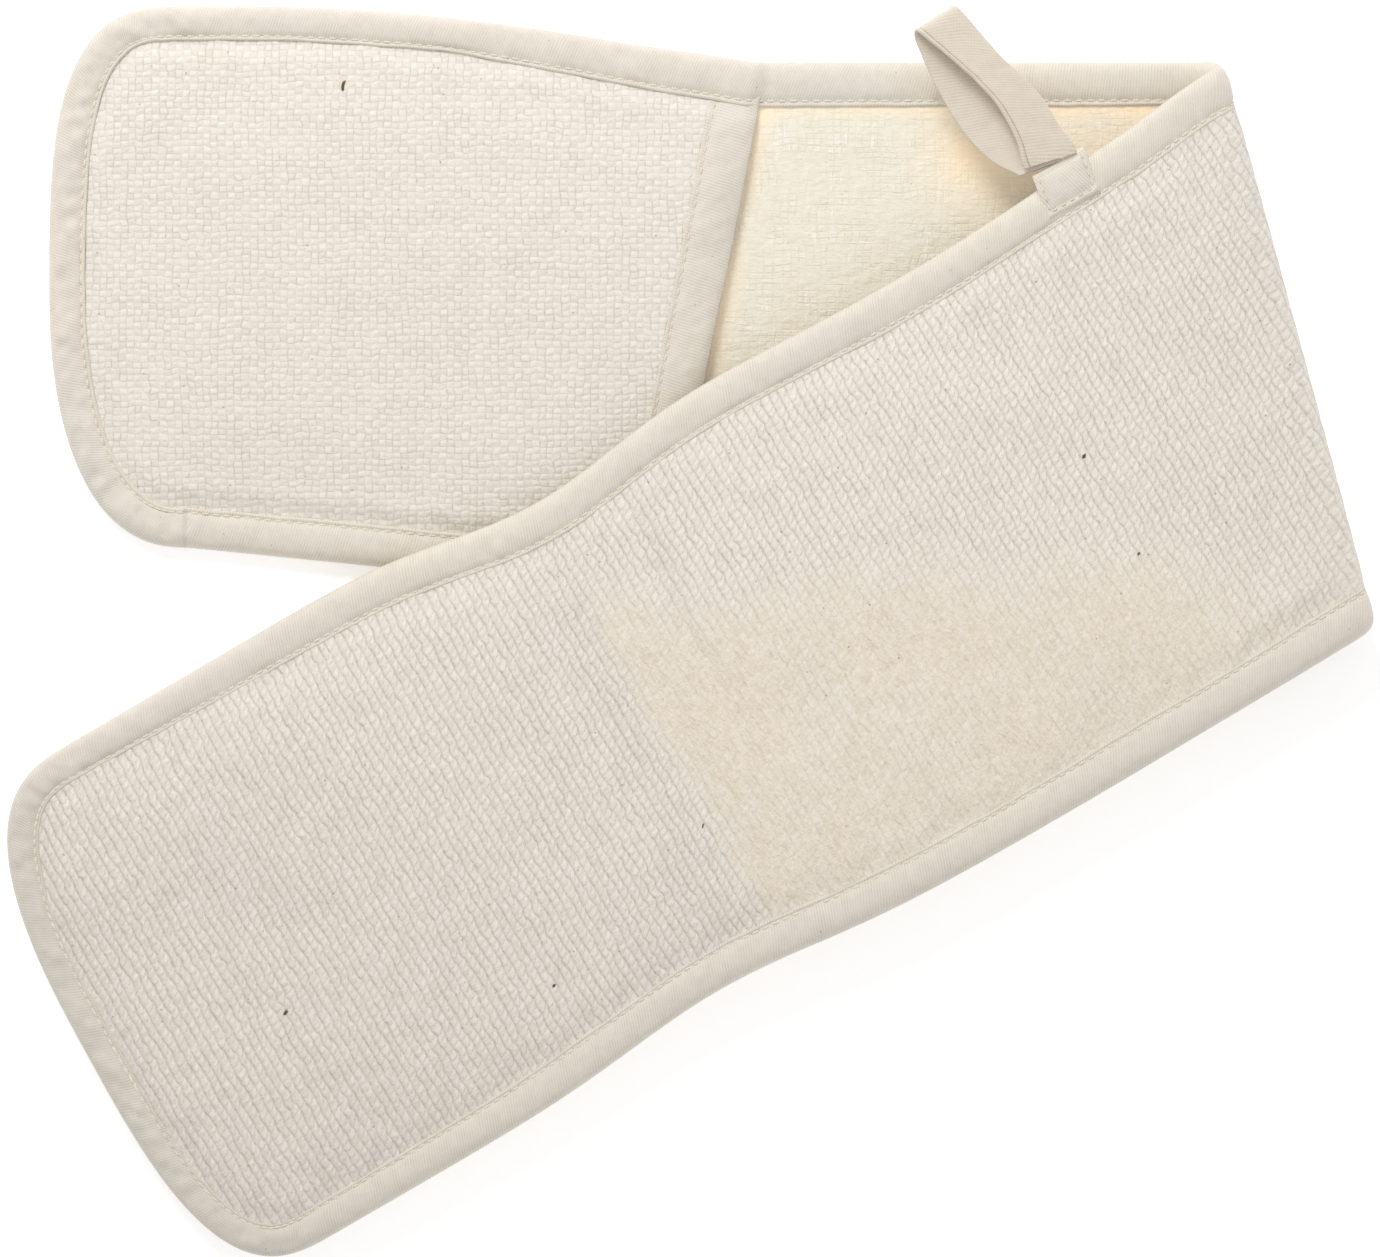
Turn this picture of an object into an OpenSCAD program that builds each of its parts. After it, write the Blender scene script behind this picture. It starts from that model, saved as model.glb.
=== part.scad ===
// Woven back scrubbing strap: a long bound strip of coarse loofah weave with a soft lining,
// a hand pocket at each end and a hanging loop. It lies folded over once, at rest.
// Frame: X runs along the lower limb towards the fold, Z is up, and the lower limb's outer face
// is the plane Z = 0. Pieces past the fold are drawn on the opened flat strap, then turned over.

/* [Strap] */
// Width of the strap over its binding
strap_width = 152; // [145:1:160]
// Distance from the origin to the rounded end of the lower limb
end_a_x = 167; // [160:1:175]
// Distance along the opened strap from the origin to the end of the upper limb
end_b_x = 564; // [556:1:572]
// Where the fold's axis crosses the centre line
fold_x = 164.7; // [160:0.05:170]
// Angle between the fold and the square across the strap
skew = 15.12; // [12:0.1:18]
// Outside height of the fold
fold_height = 18.4; // [17.5:0.1:19]

/* [Fabric] */
// Thickness of the coarse woven outer panel
outer_thick = 2.0; // [1.8:0.1:2.0]
// Thickness of the soft lining
lining_thick = 1.5; // [1.2:0.1:1.5]
// Thickness of a pocket panel where it is sewn down
seam_thick = 1.5; // [1.2:0.1:1.5]
// Height of a pocket's crown above the outer face
crown_z = 10; // [9:0.1:10]
// Thickness of a pocket panel at its crown
pocket_thick = 1.6; // [1.6:0.1:2.2]

/* [Binding] */
// Visible width of the edge binding
bind_width = 12; // [10:0.5:13]
// Thickness of the binding tape
bind_thick = 0.8; // [0.7:0.05:0.85]
// Thickness of the binding at the folded edge
bind_edge = 0.9; // [0.7:0.05:1.0]
// Width of a pocket's mouth tape
mouth_width = 13; // [11:0.5:14]
// Height of a sewing thread above the tape
thread_thick = 0.25; // [0.2:0.05:0.25]
// Width of a line of stitches
thread_width = 0.6; // [0.4:0.1:0.8]

/* [Pockets] */
// Where the lower pocket's mouth crosses the centre line
mouth_a = 14; // [12:0.5:16]
// Slant of the lower pocket's mouth, run per unit across
slant_a = 0.19; // [0.15:0.01:0.22]
// Where the upper pocket's mouth crosses the centre line, along the opened strap
mouth_b = 370; // [368:0.5:372]
// Slant of the upper pocket's mouth, run per unit across
slant_b = -0.084; // [-0.1:0.002:-0.07]

/* [Flex lines] */
// Where the lower limb's end curls
curl_a = -102; // [-104:0.5:-100]
// Where the upper limb's end curls, along the opened strap
curl_b = 345; // [343:0.5:347]
// How far the upper limb's end slopes down to the ground, in degrees
droop_b = 2.3; // [2.15:0.01:2.35]
// Where the lower pocket's lip lifts from
lip_a = -76; // [-78:0.5:-74]
// Where the upper pocket's lip lifts from, along the opened strap
lip_b = 464; // [462:0.5:466]

/* [Hanging loop] */
// Width of the loop's tape
loop_width = 14.2; // [13:0.1:15]
// Thickness of the loop's tape
loop_thick = 1.0; // [0.8:0.05:1.0]
// Length of the loop from the strap's edge to its tip
loop_length = 51; // [47:0.5:54]
// Lean of the loop from the square to the strap's edge, in degrees
loop_lean = 11; // [8:0.5:14]

/* [Hidden] */
$fn = 48;

cream = [0.89, 0.86, 0.81];
warm = [0.92, 0.88, 0.80];
tape = [0.86, 0.83, 0.78];
thread = [0.93, 0.90, 0.80];
loop_color = [0.82, 0.77, 0.70];

// Levels of the flat strap, outer face down
bind_z = 0.3;                           // underside of the binding
panel_edge_z = bind_z + 0.7;            // top of the binding's outer layer
lining_z = outer_thick + lining_thick;  // inner face of the lining
seam_z = lining_z + seam_thick;         // inner face of a pocket panel where sewn down
cut_z = lining_z - 1;                   // where cutters start
clip_z = 20;                            // above everything on the flat strap
overlap = 0.02;

// The fold: a half turn shared by four hinges with three flat strips between them
hinge_count = 4;
fold_turn = 180 / hinge_count;
fold_radius = (fold_height - 2 * outer_thick) / 2;
half_strip = fold_radius * tan(fold_turn / 2);
fold_slant = -tan(skew);
fold_axis = [sin(skew), -cos(skew), 0];
fold_out = [cos(skew), sin(skew), 0];

// Gaps left at the flex lines
curl_gap_a = 0.2;
curl_gap_b = 0.3;
lip_gap = 0.15;
fold_gap = 0.05;         // outer layers, at each hinge
inner_gap = 1.0;         // inner layers, which crowd together inside the fold
strip_lining_gap = 0.7;  // lining of the fold's strips
thread_gap = 1.15;       // inner stitches
thread_gap_a = 1.1;      // inner stitches of the lower limb

// Insets from the strap's edge
panel_inset = bind_width + 0.3;
crown_clip = bind_width + 0.25;
crown_inset = 27;
hollow_foot_inset = 14;
hollow_top_inset = 28;
stitch_inset = bind_width - 1.1;

// Pocket mouths
mouth_thick = 0.7;     // mouth tape
mouth_lap = 0.8;       // tape past the panel's edge
mouth_stitch_in = 0.8; // stitches from the tape's inner edge
mouth_run = 5;         // how far a crown is drawn past its mouth before trimming
thread_clear = 1.2;    // where stitches on the lining stop short of a mouth

// Outline of the opened strap
half_width = strap_width / 2;
cap_a = 38;  // length of each rounded end
cap_b = 36;
cap_start_a = -end_a_x + cap_a;
cap_start_b = end_b_x - cap_b;
edge_steps = 40;
cap_steps = 22;

function clamp(v) = min(1, max(0, v));
function bump(x, centre, spread) = exp(-pow((x - centre) / spread, 2));

// Edge on the +Y side: widens towards the lower end, and is drawn in near the upper mouth
function plus_edge(x) = x < fold_x
  ? half_width + 16.3 * sin(90 * clamp((25 - x) / 140))
  : half_width + 0.5 - 5.5 * bump(x, centre = 265, spread = 75)
    - 8 * bump(x, centre = 382, spread = 38);
// Edge on the -Y side: tapers towards the lower end, and is drawn in near the upper mouth
function minus_edge(x) = x < fold_x
  ? -half_width + 0.1 * max(0, 70 - x)
  : -half_width - 0.5 * clamp((x - 190) / 40) + 5 * bump(x, centre = 405, spread = 40)
    - 0.8 * bump(x, centre = 300, spread = 60);
function mid_y(x) = (plus_edge(x) + minus_edge(x)) / 2;
function half_y(x) = (plus_edge(x) - minus_edge(x)) / 2;
function edge_x(i) = cap_start_a + (cap_start_b - cap_start_a) * i / edge_steps;

// How far a rounded end falls back; across runs from -1 to 1 over its width
function fall_back(across, depth, power) =
  depth * (1 - pow(max(0, 1 - pow(abs(across), power)), 1 / power));

function cap_b_point(across, inset) =
  let (y = mid_y(cap_start_b) + (half_y(cap_start_b) - inset) * across)
  [end_b_x - inset - fall_back(across, cap_b - inset, power = 3) - 0.025 * y, y];
function cap_a_point(across, inset) = [
  -end_a_x + inset + fall_back(across, cap_a - inset, power = 2.7),
  mid_y(cap_start_a) + (half_y(cap_start_a) - inset) * across
];

// Opened strap, drawn in on every side
module plan(inset) {
  polygon(concat(
    [for (k = [0 : edge_steps]) [edge_x(k), minus_edge(edge_x(k)) + inset]],
    [for (k = [1 : cap_steps - 1]) cap_b_point(-cos(180 * k / cap_steps), inset)],
    [for (k = [edge_steps : -1 : 0]) [edge_x(k), plus_edge(edge_x(k)) - inset]],
    [for (k = [1 : cap_steps - 1]) cap_a_point(cos(180 * k / cap_steps), inset)]
  ));
}
module ring(outer_inset, inner_inset) {
  difference() {
    plan(outer_inset);
    plan(inner_inset);
  }
}
module slab(bottom, top) {
  translate([0, 0, bottom]) linear_extrude(top - bottom) children();
}

// Zones of the opened strap: bands across it between two slanted lines
reach = 120;  // half length of the lines
far_a = -260; // past each end
far_b = 660;
module band(start, start_slant, end, end_slant) {
  polygon([
    [start - reach * start_slant, -reach],
    [end - reach * end_slant, -reach],
    [end + reach * end_slant, reach],
    [start + reach * start_slant, reach]
  ]);
}
// Distance of hinge k (1 to 4) from the fold's start, square to the fold
function hinge_at(k) = half_strip + (k - 1) * 2 * half_strip;
// Where a line parallel to the fold crosses the centre line
function fold_line(distance) = fold_x + distance / cos(skew);

module zone_end_a() { band(far_a, 0, curl_a - curl_gap_a, 0); }
module zone_limb_a(gap = fold_gap) {
  band(curl_a + curl_gap_a, 0, fold_line(hinge_at(1) - gap), fold_slant);
}
module zone_fold(k, gap = fold_gap) {
  band(fold_line(hinge_at(k) + gap), fold_slant, fold_line(hinge_at(k + 1) - gap), fold_slant);
}
module zone_limb_b(gap = fold_gap) {
  band(fold_line(hinge_at(hinge_count) + gap), fold_slant, curl_b - curl_gap_b, slant_b);
}
module zone_end_b() { band(curl_b + curl_gap_b, slant_b, far_b, slant_b); }

// The pockets' zones, run on past their mouths
module zone_pocket_a(run = 0) { band(far_a, 0, mouth_a + run, slant_a); }
module zone_pocket_b(run = 0) { band(mouth_b - run, slant_b, far_b, slant_b); }
module pocket_limb_a(run = 0) {
  intersection() {
    zone_limb_a();
    zone_pocket_a(run);
  }
}
module pocket_end_b(run = 0) {
  intersection() {
    zone_end_b();
    zone_pocket_b(run);
  }
}
module bare_limb_a(gap = fold_gap, clear = 0) {
  difference() {
    zone_limb_a(gap);
    zone_pocket_a(clear);
  }
}
module bare_end_b(clear = 0) {
  difference() {
    zone_end_b();
    zone_pocket_b(clear);
  }
}

// Lips: the part of each pocket panel that lifts when a hand goes in
module lip_a_plan(inset) {
  polygon([
    [lip_a + inset, 62 - inset], [40, 45 - inset], [40, 13 + inset],
    [14, -2 + inset], [-38, -33 + inset], [lip_a + inset, -33 + inset]
  ]);
}
module lip_b_plan(inset) {
  polygon([
    [lip_b - inset, -44 + inset], [lip_b - inset, 46 - inset], [412, 43 - inset],
    [371, 15 - inset], [350, 0.7 - inset], [350, -44 + inset]
  ]);
}
// Splits children(0) along the lip plan, children(1)
module beside_lip() {
  difference() {
    children(0);
    slab(cut_z, clip_z) children(1);
  }
}
module within_lip() {
  intersection() {
    children(0);
    slab(lining_z, clip_z) children(1);
  }
}

// Part of a ring round the strap; the children are its zone
module rim(bottom, top, outer_inset, inner_inset) {
  slab(bottom, top) intersection() {
    ring(outer_inset, inner_inset);
    children();
  }
}
module sheet(bottom, top, inset) {
  slab(bottom, top) intersection() {
    plan(inset);
    children();
  }
}

// Layers of the opened strap. Children are the zone; binding and stitches may take a second
// child, the zone of their inner face, and z is the level of the panel that face lies on.
module outer_panel() {
  union() {
    sheet(panel_edge_z, outer_thick, bind_edge) children();
    sheet(0, outer_thick, panel_inset) children();
  }
}
module lining() { sheet(outer_thick, lining_z, bind_edge) children(); }
module edge_binding(z) {
  inner = $children - 1;
  union() {
    rim(bind_z, panel_edge_z, 0, bind_width) children(0);
    rim(bind_z, outer_thick, 0, bind_edge) children(0);
    rim(outer_thick - overlap, z + bind_thick, 0, bind_edge) children(inner);
    rim(z, z + bind_thick, 0, bind_width) children(inner);
  }
}
module stitch_line(z) {
  rim(z, z + thread_thick, stitch_inset, stitch_inset + thread_width) children();
}
module topstitch(z) {
  inner = $children - 1;
  stitch_line(bind_z - thread_thick) children(0);
  stitch_line(z + bind_thick) children(inner);
}
// Binding's step from the lining up to a pocket panel
module mouth_step() { rim(lining_z, seam_z + bind_thick, 0, bind_width) children(); }

// Crown of a pocket: rises from its foot to its top; the children are its zone
module crown(foot_z, top_z, foot_inset, top_inset) {
  hull() {
    sheet(lining_z - 0.4, foot_z, foot_inset) children();
    sheet(top_z - 0.05, top_z, top_inset) children();
  }
}
module crown_outside(raise = 0) {
  intersection() {
    crown(seam_z + raise, crown_z + raise, panel_inset, crown_inset) children();
    slab(lining_z, clip_z) plan(crown_clip);
  }
}
module crown_hollow(shrink = 0) {
  crown(lining_z + overlap, crown_z - pocket_thick - shrink,
    hollow_foot_inset + shrink, hollow_top_inset + shrink) children();
}
module trimmed_crown(raise = 0) {
  intersection() {
    crown_outside(raise) children(0);
    slab(lining_z, clip_z) children(1);
  }
}

// Hollows below sink by different hairs, so that their faces don't coincide.
// Pocket panel, sewn down round its sides: children(0) is the zone run past the mouth,
// children(1) the zone
module pocket_panel() {
  difference() {
    union() {
      sheet(lining_z, seam_z, bind_edge) children(1);
      trimmed_crown() {
        children(0);
        children(1);
      }
    }
    translate([0, 0, -0.001]) crown_hollow() children(0);
  }
}
// Tape folded over the mouth's edge: children(0) is the zone run past the mouth,
// children(1) the tape's strip, children(2) the panel's zone
module mouth_tape() {
  difference() {
    trimmed_crown(mouth_thick) {
      children(0);
      children(1);
    }
    difference() {
      union() {
        slab(cut_z, seam_z) children(2);
        trimmed_crown() {
          children(0);
          children(2);
        }
      }
      translate([0, 0, -0.004]) crown_hollow() children(0);
    }
    translate([0, 0, -0.006]) crown_hollow(mouth_thick) children(0);
    slab(cut_z, seam_z + 0.35) ring(0, 15.5);
  }
}
// Stitches on the mouth tape: children(0) as above, children(1) the line's strip
module mouth_thread() {
  difference() {
    trimmed_crown(mouth_thick + thread_thick) {
      children(0);
      children(1);
    }
    crown_outside(mouth_thick) children(0);
    slab(cut_z, seam_z + 1.5) ring(0, 17);
  }
}

// Places the zones past the fold
module turn(k) {
  pivot = [fold_x, 0, 0] + hinge_at(k) * fold_out + [0, 0, outer_thick];
  translate(pivot) rotate(a = fold_turn, v = fold_axis) translate(-pivot) children();
}
module past_hinge(k) {
  if (k == 1) turn(1) children();
  else past_hinge(k - 1) turn(k) children();
}
module at_limb_b() { past_hinge(hinge_count) children(); }
module at_end_b() {
  pivot = [curl_b, 0, -0.4];
  at_limb_b() translate(pivot) rotate(a = droop_b, v = [-slant_b, -1, 0])
    translate(-pivot) children();
}

// Lower limb, curling end
module outer_panel_end_a() { color(cream) outer_panel() zone_end_a(); }
module lining_end_a() { color(warm) lining() zone_end_a(); }
module pocket_panel_end_a() {
  color(cream) pocket_panel() {
    zone_pocket_a(mouth_run);
    zone_end_a();
  }
}
module edge_binding_end_a() { color(tape) edge_binding(seam_z) zone_end_a(); }
module topstitch_end_a() { color(thread) topstitch(seam_z) zone_end_a(); }

// Lower limb
module outer_panel_limb_a() { color(cream) outer_panel() zone_limb_a(); }
module lining_limb_a() { color(warm) lining() zone_limb_a(inner_gap); }
module edge_binding_limb_a() {
  color(tape) union() {
    edge_binding(lining_z) {
      bare_limb_a();
      bare_limb_a(inner_gap);
    }
    edge_binding(seam_z) pocket_limb_a(overlap);
    mouth_step() band(mouth_a, slant_a, mouth_a + mouth_lap, slant_a);
  }
}
module topstitch_limb_a() {
  color(thread) {
    topstitch(lining_z) {
      bare_limb_a();
      bare_limb_a(thread_gap_a, thread_clear);
    }
    topstitch(seam_z) pocket_limb_a();
  }
}

// Lower pocket
module panel_a() {
  pocket_panel() {
    zone_pocket_a(mouth_run);
    pocket_limb_a();
  }
}
module tape_a() {
  mouth_tape() {
    zone_pocket_a(mouth_run);
    band(mouth_a - mouth_width, slant_a, mouth_a + mouth_lap, slant_a);
    zone_pocket_a();
  }
}
module thread_a() {
  start = mouth_a - mouth_width + mouth_stitch_in;
  mouth_thread() {
    zone_pocket_a(mouth_run);
    band(start, slant_a, start + thread_width, slant_a);
  }
}
module pocket_panel_limb_a() { color(cream) beside_lip() { panel_a(); lip_a_plan(-lip_gap); } }
module mouth_binding_a() { color(tape) beside_lip() { tape_a(); lip_a_plan(-lip_gap); } }
module mouth_stitch_a() { color(thread) beside_lip() { thread_a(); lip_a_plan(-lip_gap); } }
module pocket_lip_a() { color(cream) within_lip() { panel_a(); lip_a_plan(lip_gap); } }
module mouth_binding_lip_a() { color(tape) within_lip() { tape_a(); lip_a_plan(lip_gap); } }
module mouth_stitch_lip_a() { color(thread) within_lip() { thread_a(); lip_a_plan(lip_gap); } }

// The fold, in three narrow strips
module fold_outer(k) { past_hinge(k) color(cream) outer_panel() zone_fold(k); }
module fold_lining(k) { past_hinge(k) color(warm) lining() zone_fold(k, strip_lining_gap); }
module fold_binding(k) {
  past_hinge(k) color(tape) edge_binding(lining_z) {
    zone_fold(k);
    zone_fold(k, inner_gap);
  }
}
module fold_thread(k) {
  past_hinge(k) color(thread) topstitch(lining_z) {
    zone_fold(k);
    zone_fold(k, thread_gap);
  }
}
module outer_panel_fold_1() { fold_outer(1); }
module lining_fold_1() { fold_lining(1); }
module edge_binding_fold_1() { fold_binding(1); }
module topstitch_fold_1() { fold_thread(1); }
module outer_panel_fold_2() { fold_outer(2); }
module lining_fold_2() { fold_lining(2); }
module edge_binding_fold_2() { fold_binding(2); }
module topstitch_fold_2() { fold_thread(2); }
module outer_panel_fold_3() { fold_outer(3); }
module lining_fold_3() { fold_lining(3); }
module edge_binding_fold_3() { fold_binding(3); }
module topstitch_fold_3() { fold_thread(3); }

// Upper limb
module outer_panel_limb_b() { at_limb_b() color(cream) outer_panel() zone_limb_b(); }
module lining_limb_b() { at_limb_b() color(warm) lining() zone_limb_b(inner_gap); }
module edge_binding_limb_b() {
  at_limb_b() color(tape) edge_binding(lining_z) {
    zone_limb_b();
    zone_limb_b(inner_gap);
  }
}
module topstitch_limb_b() {
  at_limb_b() color(thread) topstitch(lining_z) {
    zone_limb_b();
    zone_limb_b(thread_gap);
  }
}

// Upper limb, curling end
module outer_panel_end_b() { at_end_b() color(cream) outer_panel() zone_end_b(); }
module lining_end_b() { at_end_b() color(warm) lining() zone_end_b(); }
module edge_binding_end_b() {
  at_end_b() color(tape) union() {
    edge_binding(lining_z) bare_end_b();
    edge_binding(seam_z) pocket_end_b(overlap);
    mouth_step() band(mouth_b - mouth_lap, slant_b, mouth_b, slant_b);
  }
}
module topstitch_end_b() {
  at_end_b() color(thread) {
    topstitch(lining_z) {
      bare_end_b();
      bare_end_b(thread_clear);
    }
    topstitch(seam_z) pocket_end_b();
  }
}

// Upper pocket
module panel_b() {
  pocket_panel() {
    zone_pocket_b(mouth_run);
    pocket_end_b();
  }
}
module tape_b() {
  mouth_tape() {
    zone_pocket_b(mouth_run);
    band(mouth_b - mouth_lap, slant_b, mouth_b + mouth_width, slant_b);
    zone_pocket_b();
  }
}
module thread_b() {
  end = mouth_b + mouth_width - mouth_stitch_in;
  mouth_thread() {
    zone_pocket_b(mouth_run);
    band(end - thread_width, slant_b, end, slant_b);
  }
}
module beside_lip_b() { at_end_b() beside_lip() { children(); lip_b_plan(-lip_gap); } }
module within_lip_b() { at_end_b() within_lip() { children(); lip_b_plan(lip_gap); } }
module pocket_panel_end_b() { color(cream) beside_lip_b() panel_b(); }
module mouth_binding_b() { color(tape) beside_lip_b() tape_b(); }
module mouth_stitch_b() { color(thread) beside_lip_b() thread_b(); }
module pocket_lip_b() { color(cream) within_lip_b() panel_b(); }
module mouth_binding_lip_b() { color(tape) within_lip_b() tape_b(); }
module mouth_stitch_lip_b() { color(thread) within_lip_b() thread_b(); }

// Hanging loop: a folded tape whose two ends are sewn to the upper limb's edge.
// Its own X runs along that edge and its Y points away from the strap.
loop_at = [109.5, 48.9, 0];
loop_z = fold_height + 0.3;
tab_top_z = fold_height + 0.9;
tip_x = -loop_length * sin(loop_lean);
tip_y = loop_length - 2.5;
half_loop = loop_width / 2;
module at_loop() { translate(loop_at) rotate(2 * skew) children(); }
module loop_tab() {
  at_loop() color(loop_color) slab(fold_height, tab_top_z)
    polygon([[-8.2, -0.9], [7.9, -0.9], [8.6, -11.6], [-6.6, -12.4]]);
}
module loop_stitch() {
  at_loop() color(thread) slab(tab_top_z, tab_top_z + 0.2) difference() {
    polygon([[-7.4, -1.8], [7.1, -1.8], [7.8, -10.8], [-5.9, -11.5]]);
    polygon([[-6.7, -2.5], [6.4, -2.5], [7.1, -10.1], [-5.3, -10.8]]);
  }
}
module strand(z) { slab(z, z + loop_thick) children(); }
// Outer half of a tube
module rolled_tip() {
  translate([tip_x, tip_y + 0.1, loop_z - 1]) rotate([0, 90, 0]) intersection() {
    translate([0, 0, -half_loop]) difference() {
      cylinder(h = loop_width, r = 1.5);
      translate([0, 0, -1]) cylinder(h = loop_width + 2, r = 0.5);
    }
    translate([-3, -0.2, -half_loop - 1]) cube([6, 4, loop_width + 2]);
  }
}
module hanging_loop() {
  at_loop() color(loop_color) union() {
    // Upper strand
    strand(loop_z - 0.5) polygon([
      [-7.8, 1.1], [7.8, 1.1], [tip_x + half_loop, tip_y], [tip_x - half_loop, tip_y + 0.2]
    ]);
    // Lower strand, bowed out to one side
    strand(loop_z - 2.5) polygon([
      [-8.6, 1.5], [-13.2, 7], [-17.4, 15], [-19.6, 24], [-20.6, 33],
      [tip_x - half_loop - 1.2, tip_y + 0.2], [tip_x + half_loop, tip_y],
      [-6.4, 33], [-4.6, 24], [-2, 15], [1, 7], [3.4, 1.5]
    ]);
    rolled_tip();
  }
}

outer_panel_end_a();
lining_end_a();
pocket_panel_end_a();
edge_binding_end_a();
topstitch_end_a();
outer_panel_limb_a();
lining_limb_a();
pocket_panel_limb_a();
edge_binding_limb_a();
topstitch_limb_a();
mouth_binding_a();
mouth_stitch_a();
pocket_lip_a();
mouth_binding_lip_a();
mouth_stitch_lip_a();
outer_panel_fold_1();
lining_fold_1();
edge_binding_fold_1();
topstitch_fold_1();
outer_panel_fold_2();
lining_fold_2();
edge_binding_fold_2();
topstitch_fold_2();
outer_panel_fold_3();
lining_fold_3();
edge_binding_fold_3();
topstitch_fold_3();
outer_panel_limb_b();
lining_limb_b();
edge_binding_limb_b();
topstitch_limb_b();
loop_tab();
loop_stitch();
hanging_loop();
outer_panel_end_b();
lining_end_b();
pocket_panel_end_b();
edge_binding_end_b();
topstitch_end_b();
mouth_binding_b();
mouth_stitch_b();
pocket_lip_b();
mouth_binding_lip_b();
mouth_stitch_lip_b();
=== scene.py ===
"""A quilted cotton strap, folded askew, with a pocket at each end and a hanging loop.

The shapes are worked out in millimetres on the opened strap: x along it, y across it, z up from
the outer face to the lining. place() folds it into the frame of the CAD pieces. There the lower
limb (end a) lies outer face down on the floor, and the upper limb (end b) is turned over on top
of it, so its outer face looks up. The hanging loop stands out from the upper limb's edge.
"""

import math
from collections import namedtuple

import bpy
import numpy as np
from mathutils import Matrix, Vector


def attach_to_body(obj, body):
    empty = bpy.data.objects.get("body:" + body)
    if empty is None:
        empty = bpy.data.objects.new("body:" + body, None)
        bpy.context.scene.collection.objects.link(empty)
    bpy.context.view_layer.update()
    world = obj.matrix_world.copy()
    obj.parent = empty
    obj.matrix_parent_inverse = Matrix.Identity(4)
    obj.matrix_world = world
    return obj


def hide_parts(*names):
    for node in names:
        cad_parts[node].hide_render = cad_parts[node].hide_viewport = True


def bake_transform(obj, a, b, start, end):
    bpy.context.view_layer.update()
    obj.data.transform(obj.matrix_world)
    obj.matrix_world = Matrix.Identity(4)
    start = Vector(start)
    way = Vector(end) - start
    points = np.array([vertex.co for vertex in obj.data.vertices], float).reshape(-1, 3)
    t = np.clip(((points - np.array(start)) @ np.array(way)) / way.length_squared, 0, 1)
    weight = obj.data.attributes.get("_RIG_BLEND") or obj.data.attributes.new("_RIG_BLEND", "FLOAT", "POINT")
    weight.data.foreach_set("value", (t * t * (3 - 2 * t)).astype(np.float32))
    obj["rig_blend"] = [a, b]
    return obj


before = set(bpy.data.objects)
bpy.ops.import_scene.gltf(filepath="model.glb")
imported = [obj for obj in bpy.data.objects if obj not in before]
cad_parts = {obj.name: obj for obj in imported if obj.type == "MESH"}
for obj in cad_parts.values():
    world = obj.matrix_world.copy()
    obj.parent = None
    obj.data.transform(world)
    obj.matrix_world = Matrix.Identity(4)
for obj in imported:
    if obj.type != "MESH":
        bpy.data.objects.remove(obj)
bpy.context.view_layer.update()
COARSEN = 1.0  # multiplies mesh pitches

# ---------------------------------------------------------------- strap dimensions, mm
END_A, END_B = -168.0, 564.0
CAP_A, CAP_B = 38.0, 36.0  # length of the rounded ends
CAP_X_A, CAP_X_B = END_A + CAP_A, END_B - CAP_B
HALF_WIDTH = 76.0
MID_Z = 2.0  # level of the layer whose length the fold keeps
SEAT_Z, POCKET_Z = 3.5, 5.0  # level of the lining's seam and of the pockets' seams

FOLD_X, FOLD_HEIGHT = 164.7, 18.4
FOLD_RISE = FOLD_HEIGHT - 2 * MID_Z
SKEW = math.radians(15.12)
SKEW_SIN, SKEW_COS, SKEW_TAN = math.sin(SKEW), math.cos(SKEW), math.tan(SKEW)
STRIP = FOLD_RISE * math.tan(math.radians(22.5))  # one of the fold's four strips
ROLL = 4 * STRIP
BEND_1, BEND_2, BEND_3 = (FOLD_X + STRIP * k / SKEW_COS for k in (1, 2, 3))
JOINT_A, JOINT_B = -80.0, 323.0  # where the end sections meet the limbs

DROOP = math.radians(2.3)  # slope of the upper limb's end
CURL_A, CURL_B = -102.0, 345.0  # middle of each end's flexing zone
FLEX = 22.0  # half its length
MOUTH_A, LEAN_A = 14.0, 0.19  # pocket mouths: x at y = 0, and change of x with y
MOUTH_B, LEAN_B = 370.0, -0.084
END_B_LEAN = 0.025

# slant of the lines across the strap: x = u - slant(u) * y
SLANT_U = [-400, JOINT_A, MOUTH_A, 100, 160, 196, JOINT_B, 375, CAP_X_B, 900]
SLANT = [0, 0, -LEAN_A, 0.1, SKEW_TAN, SKEW_TAN, -LEAN_B, -LEAN_B, END_B_LEAN, END_B_LEAN]


# ---------------------------------------------------------------- small helpers
def clamp(value):
    return np.clip(value, 0.0, 1.0)


def smooth(value):
    """Smoothstep from 0 to 1."""
    value = clamp(value)
    return value * value * (3 - 2 * value)


def bump(x, centre, width):
    return np.exp(-(((x - centre) / width) ** 2))


def fraction(value):
    return value - np.floor(value)


def vectors(x, y, z=0.0):
    return np.stack(np.broadcast_arrays(x, y, z), -1)


def running_length(x, y):
    return np.concatenate([[0], np.cumsum(np.hypot(np.diff(x), np.diff(y)))])


def bilinear(values, x, y, x0, y0, pitch, eased=False):
    """Reads a regular grid of values at (x, y)."""
    i = np.clip((x - x0) / pitch, 0, values.shape[0] - 1.001)
    j = np.clip((y - y0) / pitch, 0, values.shape[1] - 1.001)
    col, row = i.astype(int), j.astype(int)
    i, j = i - col, j - row
    if eased:
        i, j = i * i * (3 - 2 * i), j * j * (3 - 2 * j)
    near = values[col, row] * (1 - i) + values[col + 1, row] * i
    far = values[col, row + 1] * (1 - i) + values[col + 1, row + 1] * i
    return near * (1 - j) + far * j


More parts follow.
